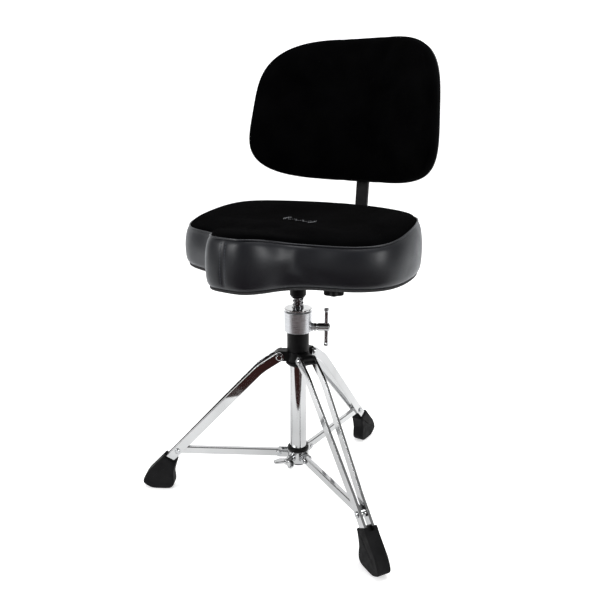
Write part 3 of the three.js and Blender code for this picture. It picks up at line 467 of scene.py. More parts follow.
def settle(o, nodes, body):
    nodes = [nodes] if isinstance(nodes, str) else list(nodes)
    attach(o, body or frame["nodes"][nodes[0]]["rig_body"])
    if nodes:
        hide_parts(*nodes)


def softened(name, node, finish, width):
    """A copy of a CAD node with its flat faces made whole and its edges rounded."""
    mesh = frame["nodes"][node].data.copy()
    mesh.name = name
    bm = bmesh.new()
    bm.from_mesh(mesh)
    bmesh.ops.remove_doubles(bm, verts=bm.verts, dist=1e-6)
    bmesh.ops.dissolve_limit(bm, angle_limit=math.radians(1), verts=bm.verts, edges=bm.edges)
    bm.to_mesh(mesh)
    bm.free()
    wear(mesh, finish)
    smooth(mesh)
    o = add_object(name, mesh)
    bevel = o.modifiers.new("rounded edges", "BEVEL")
    bevel.width, bevel.segments, bevel.limit_method = width * MM, 3, "ANGLE"
    bevel.angle_limit = math.radians(40)
    bevel.harden_normals = True
    settle(o, node, None)


# ---- column ----
tube_radius = radius_of("main_tube")
TUBE_WALL, SPINDLE_RADIUS = 2.0, 10.25
tube_bore = tube_radius - TUBE_WALL
sleeve_radius = radius_of("black_sleeve")
collar_low, collar_high = span("upper_collar")
collar_radius = -collar_low.x
lock_height = sum(levels("lock_bolt")) / 2
LOCK_ANGLE = 30
boss_reach = collar_radius + 3


def at_lock(made):
    """Brings a shape made along X to the lock's height and side."""
    return turned(shifted(made, z=lock_height), LOCK_ANGLE)


def build_column():
    low, high = levels("main_tube")
    place("main_tube_chrome", lathe([(tube_bore, low), (tube_radius, low), (tube_radius, high), (tube_bore, high)]),
        "chrome", "main_tube")
    low, high = levels("tube_end_plug")
    rim = bottom("main_tube") - GAP
    place("tube_foot_plug", lathe([(0, low), (9, low), (10, low + 0.8), (tube_radius - 0.4, low + 0.8),
        (tube_radius, rim), (tube_bore - GAP, rim), (tube_bore - GAP, high), (0, high)]),
        "black_plastic", "tube_end_plug")
    low, high = levels("black_sleeve")
    bore, step = tube_radius + GAP, high - 20
    place("black_sleeve_skin", lathe([(bore, low), (sleeve_radius, low), (sleeve_radius, high),
        (sleeve_radius - 0.5, high), (sleeve_radius - 0.5, step), (bore, step)], rounding=0.3),
        "black_plastic", "black_sleeve")

    low, high = top("black_sleeve") + GAP, collar_high.z
    spigot = low - 19.7
    body = lathe([(bore, spigot), (sleeve_radius - 0.8, spigot), (sleeve_radius - 0.8, low),
        (collar_radius - 1.2, low), (collar_radius, low + 1.2), (collar_radius, high - 2.2),
        (collar_radius - 1.6, high), (bore, high)], rounding=0.5)
    boss = at_lock(along_x(rod(7.8, collar_radius - 5, boss_reach, 0.8)))
    bolt_bore = at_lock(along_x(rod(5.3, 12, 40)))
    place("upper_collar_satin", cut(union(body, boss), bolt_bore), "satin_silver", "upper_collar")

    low, high = levels("collar_cap")
    bore = SPINDLE_RADIUS + GAP
    place("collar_cap_disc", lathe([(bore, low), (collar_radius - 2.4, low), (collar_radius - 2.4, low + 0.9),
        (collar_radius, low + 0.9), (collar_radius, high), (bore + 1, high), (bore, high - 1)], rounding=0.7),
        "chrome", "collar_cap")


def threaded_rod(radius, depth, pitch, low, high, around=56):
    """A rod with a rounded trapezoid thread: every row of vertices lies level, and the helix runs through them."""
    rows = int((high - low) / pitch * 10)
    rings = []
    for row in range(rows + 1):
        z = low + (high - low) * row / rows
        ring = []
        end = min(1, (z - low) / 1.5 + 0.3, (high - z) / 1.5 + 0.3)
        for i in range(around):
            flank = abs((z / pitch - i / around) % 1 - 0.5) * 2
            rise = min(1, max(0, (flank - 0.28) / 0.34))
            r = radius - depth * (1 - rise * rise * (3 - 2 * rise)) - (1 - end) * depth * 0.5
            angle = 2 * math.pi * i / around
            ring.append((r * math.cos(angle), r * math.sin(angle), z))
        rings.append(ring)
    return loops(rings)


def build_spindle():
    hub_low, hub_high = levels("spindle_hub")
    thread_low = top("spindle_guide") + GAP
    thread_made = threaded_rod(SPINDLE_RADIUS, 2, 7, thread_low, hub_low + 0.2)
    shank = rod(SPINDLE_RADIUS, hub_low - 0.3, hub_high - 2.2, 0.5)
    pilot = rod(7, bottom("spindle"), thread_low + 1, 0.8)
    place("spindle_thread", together(thread_made, shank, pilot), "dark_chrome", "spindle", slot="chrome")
    outer, pocket = 15.0, SPINDLE_RADIUS + GAP
    place("spindle_hub_body", lathe([(pocket, hub_low), (outer - 3.4, hub_low), (outer, hub_low + 5),
        (outer, hub_high - 9), (outer + 2.2, hub_high - 2), (outer + 2.2, hub_high), (3, hub_high),
        (3, hub_high - 1.5), (pocket, hub_high - 1.5)], rounding=0.7), "black_metal", "spindle_hub")


def build_lock():
    low, high = SPINDLE_RADIUS + GAP, 60.0
    face = boss_reach + GAP
    bar_at = high - 7.5
    barrel = along_x(lathe([(0, low), (5, low), (5, face), (6.6, face), (7.5, face + 1), (7.5, face + 5),
        (6.5, face + 5.8), (6.5, face + 7.2), (7.5, face + 8), (7.5, high - 3), (5.2, high - 0.4), (0, high)],
        rounding=0.7))
    bore = shifted(rod(4.05, -20, 20), x=bar_at)
    place("lock_bolt_barrel", at_lock(cut(barrel, bore)), "chrome", "lock_bolt")
    low, high = levels("lock_bar")
    middle, half = (low + high) / 2, (high - low) / 2
    handle = lathe([(0, -half), (3.4, -half), (4.7, -half + 1.4), (4.7, -half + 4.5), (3.75, -half + 6.5),
        (3.75, half - 6.5), (4.7, half - 4.5), (4.7, half - 1.4), (3.4, half), (0, half)], rounding=0.8)
    handle = turned(shifted(handle, x=bar_at, z=middle), LOCK_ANGLE)
    place("lock_cross_bar", handle, "steel", "lock_bar", slot="chrome")


# ---- tripod ----
HUB_PIN_REACH, RIVET_REACH, LUG_REACH = 34.0, 236.5, 36.0
HUB_PIN, RIVET, BRACE_PIN = 4.0, 3.0, 2.5  # radii
hub_pin = Vector((HUB_PIN_REACH, sum(levels("hub_pin_1")) / 2))
rivet = Vector((RIVET_REACH, sum(levels("leg_1_rivet_left")) / 2))
lug = Vector((LUG_REACH, rivet.y))
knee = hub_pin + Vector((36.0, -24.5))
thigh = (knee - hub_pin).normalized()
shin = (rivet - knee).normalized()
shin_out = Vector((-shin.y, shin.x))
BAR_TALL, BAR_THICK = 17.5, 5.0
EAR_WIDE = 22.4
bar_inner = EAR_WIDE / 2 + GAP
foot_inner = 5.0


def ear(start, end, middle, radius, low, high, edge=0.8):
    tip = arc(end, middle, radius, -math.pi / 2, math.pi / 2, 25)
    return side_on(plate([(start, middle - radius), *tip, (start, middle + radius)], low, high, edge))


def on_pin(made, pin):
    return shifted(made, x=pin.x, z=pin.y)


def pin_bore(radius, pin, reach=60):
    """The hole for a pin along Y, with its play."""
    return on_pin(along_y(rod(radius + GAP, -reach, reach, segments=32)), pin)


def build_leg_hub():
    low, high = levels("leg_hub")
    made = lathe([(0, low), (sleeve_radius - 1.2, low), (sleeve_radius, low + 1.2), (sleeve_radius, high - 0.6),
        (0, high)])
    ears = [turned(ear(2, hub_pin.x, hub_pin.y, 9.7, -EAR_WIDE / 2, EAR_WIDE / 2), a) for a in LEG_ANGLES]
    bores = [turned(pin_bore(HUB_PIN, hub_pin), a) for a in LEG_ANGLES]
    # The casting's web between the ears: a step round the lower edge.
    web = sleeve_radius + 2.5
    step = lathe([(web, low + 3), (web, low + 7), (10, low + 7), (10, low + 3)])
    inner = rod(tube_radius + GAP, low - 5, high + 5, segments=96)
    place("leg_hub_casting", cut(union(made, step, *ears), inner, *bores), "black_plastic", "leg_hub")


def headed_pin(radius, head, head_height, grip):
    end = grip + head_height
    low = [(0, -end), (head * 0.72, -end), (head, -end + head_height * 0.55), (head, -grip), (radius, -grip)]
    return along_y(lathe(low + [(r, -z) for r, z in reversed(low)], 48))


def bar_line():
    """The bar's middle line: (place, direction, half height, share of the spread) at each station."""
    half = BAR_TALL / 2
    out = []
    for degrees in (84, 70, 56, 42, 28, 14, 0):
        angle = math.radians(degrees)
        out.append((hub_pin - thigh * (half * math.sin(angle)), thigh, half * math.cos(angle), 1.0))
    reach = 13.0
    start, end = knee - thigh * reach, knee + shin * reach
    for k in range(11):
        t = k / 10
        at = start * (1 - t) ** 2 + knee * (2 * t * (1 - t)) + end * t * t
        out.append((at, thigh.lerp(shin, t).normalized(), half, 1.0))
    rivet_run = rivet - shin * 25
    run = (rivet_run - end).length
    for k in range(1, 25):
        t = k / 24
        ease = 1 - max(0.0, (t - 0.03) / 0.97)
        if t > 0.94:
            ease = (1 - t) ** 2 * 8.6
        out.append((end + shin * (run * t), shin, half, ease))
    for k in range(1, 5):
        out.append((rivet_run + shin * (75 * k / 4), shin, half, 0.0))
    return out


def bar(side, grow=0.0):
    rings = []
    for at, along, half, spread in bar_line():
        middle = foot_inner + (bar_inner - foot_inner) * spread + BAR_THICK / 2
        up = Vector((-along.y, along.x))
        ring = []
        for p in section(BAR_THICK + 2 * grow, 2 * (half + grow), min(1.1, half * 0.8)):
            here = at + up * p.y
            ring.append((here.x, side * (middle + p.x), here.y))
        rings.append(ring)
    return loops(rings)


def on_shin(along, out):
    return rivet + shin * along + shin_out * out


def foot_outline():
    heel_up = Vector((rivet.x + 9.5, 22.0))
    toe = Vector((rivet.x + 72.5, 17.0))
    sole_back = Vector((heel_up.x + 16, 0))
    sole_front = sole_back + Vector((22.0, 0))
    inner, outer, shin_end = on_shin(19, -14), on_shin(25, 12.5), on_shin(64, 13)
    corner = shin_end + Vector((9, -9))
    toe_line = [outer, shin_end, corner, toe, Vector((toe.x - 3, 9)), Vector((sole_front.x + 9, 1.2)), sole_front,
        sole_front.lerp(sole_back, 0.5), sole_back, Vector((sole_back.x - 9, 1.2)), Vector((heel_up.x + 0.5, 8)),
        heel_up, Vector((heel_up.x + 1.8, 32)), inner]
    # Corner cutting, with the two top corners kept.
    for _ in range(3):
        finer = [toe_line[0]]
        for p, q in zip(toe_line, toe_line[1:]):
            finer += [p.lerp(q, 0.25), p.lerp(q, 0.75)]
        toe_line = finer + [toe_line[-1]]
    return eased(toe_line, 1.2, True, 2)


def foot():
    body = side_on(plate(foot_outline(), -12.75, 12.75, 3.2, 5))
    depth = 32.0
    notch = [on_shin(0, 4), on_shin(depth, 4), on_shin(depth, 60), on_shin(0, 60)]
    tools = [side_on(plate(notch, -5, 5, 0.01, 1)), bar(1, 0.3), bar(-1, 0.3)]
    sole = rivet.x + 9.5 + 14
    for k in range(5):
        x = sole + 4 + k * 5
        tools.append(block((x, -20, -5), (x + 1.6, 20, 1.0)))
    return cut(body, *tools)


def build_legs():
    boot = foot()
    outline = arc(*lug, 7, math.pi / 2, math.pi * 1.5, 17) + arc(*rivet, 7, -math.pi / 2, math.pi / 2, 17)
    side_view = side_on(plate(outline, -5, 5, 0.6))
    u = [(-4.5, -9), (-2.5, -9), (-2.5, 3.6), (-1.6, 5), (1.6, 5), (2.5, 3.6), (2.5, -9), (4.5, -9), (4.5, 5),
        (3.4, 7), (-3.4, 7), (-4.5, 5)]
    u = anticlockwise(eased(u, 0.7, True, 2))
    channel = loops([[(x, p.x, rivet.y + p.y) for p in u] for x in (20.0, 260.0)])
    brace = cut(common(channel, side_view), pin_bore(BRACE_PIN, lug), pin_bore(RIVET, rivet))
    grip = bar_inner + BAR_THICK + GAP
    for n, angle in enumerate(LEG_ANGLES, 1):
        pin = on_pin(headed_pin(HUB_PIN, 6.4, 3, grip), hub_pin)
        place(f"hub_pin_{n}_steel", turned(pin, angle), "chrome", f"hub_pin_{n}", slot="steel")
        for word, side in (("left", 1), ("right", -1)):
            made = cut(bar(side), pin_bore(HUB_PIN, hub_pin), pin_bore(RIVET, rivet))
            place(f"leg_{n}_{word}_tube", turned(made, angle), "chrome", f"leg_{n}_bar_{word}")
            outer = foot_inner + BAR_THICK
            head = along_y(lathe([(0, foot_inner), (RIVET, foot_inner), (RIVET, outer + GAP), (5.5, outer + GAP),
                (5.3, outer + 1.6), (3.6, outer + 3.1), (0, outer + 3.6)], 40, 0.7))
            head = head if side > 0 else turned(head, 180)
            place(f"leg_{n}_{word}_rivet_head", turned(on_pin(head, rivet), angle), "steel", f"leg_{n}_rivet_{word}")
        place(f"leg_{n}_rubber_foot", turned(boot, angle), "rubber", f"leg_{n}_foot")
        place(f"brace_{n}_channel", turned(brace, angle), "chrome", f"brace_{n}")
        pin = on_pin(headed_pin(BRACE_PIN, 4, 1.4, 8.7), lug)
        place(f"brace_{n}_pin_head", turned(pin, angle), "steel", f"brace_pin_{n}")


def build_lower_collar():
    low, high = levels("lower_collar")
    outer = 21.0
    body = lathe([(0, low), (outer - 1, low), (outer, low + 1), (outer, high - 1), (outer - 1, high), (0, high)])
    slots = [turned(pin_bore(BRACE_PIN, lug, 12), a) for a in LEG_ANGLES]
    lugs = [turned(ear(8, *lug, 7, near, near + 3.5, 0.7), a) for a in LEG_ANGLES for near in (5.0, -8.5)]
    at_wing = lambda made, height=(low + high) / 2: turned(shifted(made, z=height), -90)
    boss = at_wing(along_x(rod(7.5, 5, outer + 6, 0.9)))
    wing_bore = at_wing(along_x(rod(4.3, 10, 60)))
    inner = rod(tube_radius + GAP, low - 5, high + 5, segments=96)
    casting = cut(union(body, boss, *lugs), inner, wing_bore, *slots)
    place("lower_collar_casting", casting, "chrome", "lower_collar")
    low, high = levels("collar_ring")
    place("collar_ring_seal", lathe([(tube_radius + GAP, low), (outer - 0.5, low), (outer - 0.5, high - 1.8),
        (outer - 2.2, high), (tube_radius + GAP, high)], rounding=0.8), "black_plastic", "collar_ring")

    root, half = outer + 10, 21.0
    wing = [(root, -6), (root + 8, -half * 0.85), *arc(root + 19, 5 - half, 6, -math.pi * 0.8, math.pi * 0.35, 12),
        (root + 13.5, -2), (root + 13.5, 2), *arc(root + 19, half - 5, 6, -math.pi * 0.35, math.pi * 0.8, 12),
        (root + 8, half * 0.85), (root, 6)]
    wings = plate(eased(wing, 1.5, True, 2), -2.4, 2.4, 1.4)
    shaft = along_x(rod(4, tube_radius + 0.6, outer + 12, 0.4))
    barrel = along_x(lathe([(0, outer + 8), (6.5, outer + 8), (7, outer + 9), (6, outer + 20), (4.8, outer + 22),
        (0, outer + 22)]))
    place("wing_bolt_body", at_wing(union(wings, barrel, shaft)), "chrome", "wing_bolt")


# ---- seat ----
SEAT_WIDE, SEAT_LONG, NOSE_WIDE = 429.0, 417.0, 107.0
BOARD_INSET, SIDE_HEIGHT, CROWN, DISH = 7.0, 75.0, 17.0, 7.0
board_low = bottom("seat_board")


def spline(points, segments):
    """Points of a closed centripetal Catmull-Rom curve."""
    points = [np.array(p, float) for p in points]
    count = len(points)
    places = []
    for k in range(segments):
        p = count * k / segments
        i, w = int(p), p - int(p)
        a, b, c, d = (points[(i + j - 1) % count] for j in range(4))
        s0, s1, s2 = (max(1e-4, np.linalg.norm(q - r) ** 0.5) for q, r in ((b, a), (c, b), (d, c)))
        t1 = ((b - a) / s0 - (c - a) / (s0 + s1) + (c - b) / s1) * s1
        t2 = ((c - b) / s1 - (d - b) / (s1 + s2) + (d - c) / s2) * s1
        c2, c3 = -3 * b + 3 * c - 2 * t1 - t2, 2 * b - 2 * c + t1 + t2
        places.append(b + t1 * w + c2 * w * w + c3 * w**3)
    return np.array(places)


def traced(places):
    """The points of a closed line, with its unit direction at each."""
    runs = np.roll(places, -1, 0) - np.roll(places, 1, 0)
    return places, runs / np.linalg.norm(runs, axis=1)[:, None]


def seat_outline(segments):
    w, l, n = SEAT_WIDE / 2, SEAT_LONG / 2, NOSE_WIDE / 2
    half = [(n * 0.6, -l * 0.985), (n, -l * 0.87), (n * 1.28, -l * 0.72), (w * 0.47, -l * 0.575),
        (w * 0.78, -l * 0.475), (w * 0.965, -l * 0.28), (w, 0), (w * 0.925, l * 0.4), (w * 0.715, l * 0.73),
        (w * 0.38, l * 0.94)]
    places = spline([(0, -l), *half, (0, l), *[(-x, y) for x, y in reversed(half)]], segments)
    # Stretched cloth bridges the tightest bends.
    for _ in range(10):
        places = (np.roll(places, 1, 0) + 2 * places + np.roll(places, -1, 0)) / 4
    return traced(places)


def eased_step(value, start, end):
    t = np.clip((value - start) / (end - start), 0, 1)
    return t * t * (3 - 2 * t)


def seam_height(y):
    """The seam dips beside the thighs, and rises over the nose and behind the hips."""
    rise = 15 * eased_step(-y, 105, 200) + 21 * eased_step(y, -100, 85) - 6 * eased_step(y, 85, 206)
    return board_low + SIDE_HEIGHT - 6 + rise


BACK_WIDE, BACK_TALL = 388, 271


def back_outline(segments):
    angles = np.linspace(0, 2 * math.pi, segments, endpoint=False)
    # The lower corners are squarer than the upper ones.
    power = 2 / np.where(np.sin(angles) < 0, 4.2, 3.3)
    bow = lambda value: np.sign(value) * np.abs(value) ** power
    up = bow(np.sin(angles))
    wide = bow(np.cos(angles)) * (1 - 0.075 * up)
    points = np.stack([wide * BACK_WIDE / 2, up * BACK_TALL / 2], 1)
    # Even steps along the line, so that the corners aren't crowded.
    lengths = np.concatenate([[0], np.cumsum(np.linalg.norm(np.roll(points, -1, 0) - points, axis=1))])
    loop = np.vstack([points, points[:1]])
    at = np.linspace(0, lengths[-1], segments, endpoint=False)
    return traced(np.stack([np.interp(at, lengths, loop[:, k]) for k in (0, 1)], 1))


def ring_at(outline, inset=0.0, share=1.0, height=0.0):
    """One ring of a pillow. height is a number, or a function of x and y."""
    places, runs = outline
    inward = np.stack([-runs[:, 1], runs[:, 0]], 1)
    flat = (places + inward * inset) * share
    z = height(flat[:, 0], flat[:, 1]) if callable(height) else np.full(len(flat), float(height))
    return np.column_stack([flat, z])


def pillow(rings):
    """A closed form from rings, with its first and last closed on their middles.

    Ring r, point i is vertex r * count + i. The two middles come last.
    """
    count = len(rings[0])
    vertices, faces = loops(rings, cap=False)
    vertices = np.vstack([vertices, rings[0].mean(0), rings[-1].mean(0)])
    first, last = len(vertices) - 2, len(vertices) - 1
    end = (len(rings) - 1) * count
    for i in range(count):
        j = (i + 1) % count
        faces.append((j, i, first))
        faces.append((end + i, end + j, last))
    return vertices, faces


CLOTH_FRAMES, CLOTH_SLACK = 20, 0.002


def inflate(rings, held, pressure, cap):
    """A pillow of cloth under air pressure. held says how firmly each ring stays.

    No vertex moves by more than cap, in mm.
    """
    vertices, faces = pillow(rings)
    o = mesh_object("cloth work", vertices * MM, faces)
    group = o.vertex_groups.new(name="held")
    held = np.concatenate([np.full(len(rings[0]), h) for h in held] + [[1, 1]])
    for weight in sorted(set(held)):
        if weight > 0:
            group.add([int(i) for i in np.nonzero(held == weight)[0]], float(weight), "REPLACE")
    cloth = o.modifiers.new("cloth", "CLOTH")
    settings = cloth.settings
    settings.quality, settings.mass = 6, 0.25
    settings.tension_stiffness = settings.compression_stiffness = 12
    settings.shear_stiffness, settings.bending_stiffness = 6, 5
    settings.use_pressure, settings.uniform_pressure_force = True, pressure
    settings.vertex_group_mass = "held"
    settings.shrink_min = -CLOTH_SLACK
    settings.effector_weights.gravity = 0
    cloth.point_cache.frame_start, cloth.point_cache.frame_end = 1, CLOTH_FRAMES
    scene = bpy.context.scene
    for frame_number in range(1, CLOTH_FRAMES + 1):
        scene.frame_set(frame_number)
    evaluated = o.evaluated_get(bpy.context.evaluated_depsgraph_get())
    step = np.array([v.co for v in evaluated.data.vertices], float) * 1000 - vertices
    discard(o)
    scene.frame_set(1)
    length = np.linalg.norm(step, axis=1)
    if not np.isfinite(length).all():
        return vertices, faces
    scale = np.where(length > cap, cap / np.maximum(length, 1e-9), 1.0)
    return vertices + step * scale[:, None], faces


def cushion(name, made, count, parts, nodes, slot, creases, matrix=None):
    """Places a pillow of rings of count points, subdivided.

    parts says up to which ring each finish goes; creases says how sharp a ring stays.
    """
    on_rings = len(made[0]) - 2
    if matrix is not None:
        made = moved(made, matrix)
    finishes = [finish for _, finish in parts]
    o = place(name, made, finishes, nodes, slot=slot, hard=False, sharp=180)
    mesh = o.data
    for polygon in mesh.polygons:
        # The first middle counts as ring 0, and the last as the last ring.
        row = min(i // count if i < on_rings else (i - on_rings) * (on_rings // count - 1) for i in polygon.vertices)
        polygon.material_index = next(k for k, (until, _) in enumerate(parts) if row < until)
    crease = mesh.attributes.new("crease_edge", "FLOAT", "EDGE")
    for edge in mesh.edges:
        a, b = edge.vertices
        if max(a, b) < on_rings and a // count == b // count:
            crease.data[edge.index].value = creases.get(a // count, 0.0)
    subdivision = o.modifiers.new("smooth", "SUBSURF")
    subdivision.levels = subdivision.render_levels = 1
    return o


def piping(centres, radius):
    """A closed cord of fabric through points."""
    rings = []
    for at, run in zip(*traced(centres)):
        along = Vector(run)
        side = along.cross(Vector((0, 0, 1))).normalized()
        up = side.cross(along)
        rings.append([Vector(at) + side * p.x + up * p.y for p in arc(0, 0, radius, 0, math.pi * 7 / 4, 8)])
    return loops(rings, closed_along=True)


def stitch(start, end, out, radius=0.5, lift=0.35):
    """One thread stitch: a short bead bowed over the surface, its ends sunk in."""
    out = Vector(out).normalized()
    side = (end - start).normalized().cross(out).normalized()
    rings = []
    for k in range(6):
        t = k / 5
        at = start.lerp(end, t) + out * (lift * (1 - (2 * t - 1) ** 2) * 2 - 0.25)
        r = radius * (0.35 + 0.65 * math.sin(math.pi * (t * 0.8 + 0.1)))
        rings.append([at + side * p.x + out * p.y for p in arc(0, 0, r, 0, math.pi * 5 / 3, 6)])
    return loops(rings)


def build_seat():
    count = 176
    outline = seat_outline(count)
    base = board_low

    def rise(share, crown):
        level = base + SIDE_HEIGHT - DISH
        return lambda x, y: seam_height(y) * share + level * (1 - share) + crown * (1 - share**14)

    rings, held = [], []

    def add(hold, **ring):
        rings.append(ring_at(outline, **ring))
        held.append(hold)

    for share in (0.3, 0.6, 0.86):
        add(1, share=share, inset=7 * share, height=base + 4)
    add(1, inset=4, height=base + 3.6)
    add(1, inset=0, height=base + 4.2)
    add(1, inset=-2.6, height=base + 6.2)
    for share in np.linspace(0.09, 0.93, 15):
        bulge = 5.2 * math.sin(math.pi * min(1, share * 1.02)) ** 0.75 + 3.4 * (1 - share) ** 3
        side = (lambda s: lambda x, y: base + 6 + (seam_height(y) - base - 6) * s)(share)
        add(0, inset=0.4 + 2.2 * share**6 - bulge, height=side)
    seam_ring = len(rings)
    add(1, inset=4.2, height=lambda x, y: seam_height(y) - 0.6)
    add(0, inset=6.5, height=lambda x, y: seam_height(y) + 1.0)
    for share in (0.95, 0.925, 0.895, 0.86, 0.82, 0.77, 0.71, 0.64, 0.56, 0.47, 0.37):
        add(0, share=share, height=rise(share, CROWN - 3))
    for share in (0.27, 0.17, 0.08):
        add(0.9, share=share, height=rise(share, CROWN - 1.5))
    made = inflate(rings, held, 2.0, 4.5)
    vertices = made[0]
    # The seam down the nose draws the vinyl in between its two rows of stitches.
    for offset, depth in ((-1, 0.5), (0, 1.5), (1, 0.5)):
        i = offset % count
        run = outline[1][i]
        vertices[6 * count + i:seam_ring * count:count] -= np.array([run[1], -run[0], 0]) * depth
    o = cushion("seat_cushion", made, count, [(seam_ring, "vinyl"), (len(rings), "velour")],
        ["seat_cover", "seat_foam"], "vinyl", {seam_ring: 0.6, 4: 0.5})

    seam = vertices[seam_ring * count:(seam_ring + 1) * count]
    place("seat_piping", piping(seam + np.array([0, 0, 0.9]), 1.5), "vinyl", body="seat", hard=False)

    tree = BVHTree.FromPolygons([Vector(v) for v in vertices], made[1])
    stitches = []
    for x in (-4.6, 4.6):
        for z in np.arange(base + 11, base + SIDE_HEIGHT + 2, 5.0):
            hits = [tree.ray_cast(Vector((x, -400, height)), Vector((0, 1, 0))) for height in (z, z + 3.4)]
            (start, out), (end, _) = (hit[:2] for hit in hits)
            if start and end:
                stitches.append(stitch(start, end, out if out.y < 0 else -out))
    place("nose_stitches", together(*stitches), "seam_thread", body="seat", slot="vinyl", hard=False)

    # A small stitched ornament on the top: a plain wave between two crescents.
    centre, tilt = Vector((0, 6)), Matrix.Rotation(math.radians(-9), 2)
    beads = []

    def bead(*ends):
        above = [(centre + tilt @ Vector(p)).to_3d() + Vector((0, 0, 700)) for p in ends]
        start, end = (tree.ray_cast(p, Vector((0, 0, -1)))[0] for p in above)
        if start and end:
            beads.append(stitch(start, end, (0, 0, 1), 0.36, 0.4))

    for k in range(26):
        bead(*[(x, 5.5 * math.sin(x * 0.36)) for x in (2.0 * k - 26, 2.0 * k - 24.8)])
    for side in (-1, 1):
        for reach in (7.0, 9.5):
            for k in range(6):
                spread = [math.radians(-70 + 23.3 * (k + d)) for d in (0, 0.8)]
                bead(*[(side * (25 + reach * math.cos(a)), 1.25 * reach * math.sin(a)) for a in spread])
    place("seat_ornament", together(*beads), "silver_thread", body="seat", slot="velour", hard=False)

    rim = [(9, 1, 3.2), (1.4, 1, 3.2), (0.6, 1, 2.2), (0.6, 1, -0.5), (1.4, 1, -1.3), (0, 0.86, -1.4),
        (0, 0.86, -0.4), (9, 1, -0.4)]
    rings = [ring_at(outline, inset, share, base + z) for inset, share, z in rim]
    place("seat_base_rim", loops(rings, closed_along=True), "trim_cloth", body="seat", slot="black_plastic", sharp=50)
    staples = []
    for at, run in list(zip(ring_at(outline, share=0.9, height=base - 2.3), outline[1]))[::4]:
        at, reach = Vector(at), Vector((*run, 0)) * 4.5
        staples.append(stitch(at - reach, at + reach, (0, 0, -1), 0.45, 0.3))
    place("seat_staples", together(*staples), "steel", body="seat", hard=False)
    softened("seat_plate_steel", "seat_plate", "black_metal", 0.8)


# ---- backrest ----
POST_WIDE, POST_THICK, BEND_RADIUS = 25.4, 9.5, 30
lean = math.radians(5.3)
post_level = bottom("back_post") + POST_THICK / 2
carriage_z = 721.0
post_back = 228.0


def post_at(height):
    return post_back + (height - post_level) * math.tan(lean)


carriage = Matrix.Translation((0, post_at(carriage_z), carriage_z)) @ Matrix.Rotation(-lean, 4, "X")
carriage_half = POST_THICK / 2 + 0.4 + 4


def build_post():
    start = Vector((span("back_post")[0].y, post_level))
    up = Vector((math.sin(lean), math.cos(lean)))
    bend_angle = math.pi / 2 - lean
    centre = Vector((post_back - BEND_RADIUS * math.tan(bend_angle / 2), post_level + BEND_RADIUS))
    path = [(start, Vector((1, 0)))]
    for k in range(17):
        a = -math.pi / 2 + bend_angle * k / 16
        path.append((centre + Vector((math.cos(a), math.sin(a))) * BEND_RADIUS, Vector((-math.sin(a), math.cos(a)))))
    last = path[-1][0]
    end = top("back_post")
    path.append((last + up * ((end - last.y - 0.6) / up.y), up))
    rings = []
    for at, along in path:
        normal = Vector((-along.y, along.x))
        flat = section(POST_WIDE, POST_THICK, 1.6, 4)
        rings.append([(p.x, at.x + normal.x * p.y, at.y + normal.y * p.y) for p in flat])
    place("back_post_bar", loops(rings), "black_metal", "back_post")
    softened("post_end_cap", "post_cap", "black_plastic", 1.2)
    softened("rail_bracket_steel", "rail_bracket", "black_metal", 0.7)
    softened("back_bracket_steel", "back_bracket", "black_metal", 0.7)


KNOB_LOBES, KNOB_WIDE, KNOB_TALL = 6, 45.0, 19.0


def star_knob(stem_length):
    """A moulded hand knob hanging below z = 0: scalloped grip, dished face, neck and a threaded stem."""
    around, face, rim = 120, 1.4 - KNOB_TALL, -KNOB_TALL
    profile = [(0.42, face), (0.62, face), (0.70, rim), (0.86, rim), (0.95, rim + 1.0), (1.0, rim + 3.2), (1.0, -6.0),
        (0.95, -3.8), (0.84, -3.0), (0.70, -3.0)]
    rings = []
    for share, z in profile:
        ring = []
        for i in range(around):
            a = 2 * math.pi * i / around
            wave = 2.5 * (math.cos(KNOB_LOBES * a) - 1) * max(0.0, (share - 0.6) / 0.4)
            rib = 0.25 * math.cos(60 * a) * max(0.0, (share - 0.97) / 0.03)
            r = KNOB_WIDE / 2 * share + wave + rib - 0.25
            ring.append((r * math.cos(a), r * math.sin(a), z))
        rings.append(ring)
    grip = loops(rings)
    foot, waist = KNOB_WIDE * 0.35, KNOB_WIDE * 0.25
    neck = lathe([(0, -4), (foot, -4), (foot, -3.2), (waist, 2), (8, 6), (0, 6)], 64, 1.0)
    stem = threaded_rod(4.0, 0.5, 1.25, 0.0, stem_length, 32) if stem_length > 4 else rod(4, 0, stem_length)
    return together(grip, neck, stem)


def build_knobs():
    low, high = span("depth_knob")
    grip_top = low.z + KNOB_TALL
    middle = (low + high) / 2
    made = shifted(star_knob(high.z - grip_top), x=middle.x, y=middle.y, z=grip_top)
    place("depth_knob_grip", made, "black_plastic", "depth_knob")
    grip_top = carriage_half + 8
    knob = turned(star_knob(grip_top - POST_THICK / 2 - GAP), 90, "X")
    place("height_knob_grip", moved(shifted(knob, y=grip_top), carriage), "black_plastic", "height_knob")


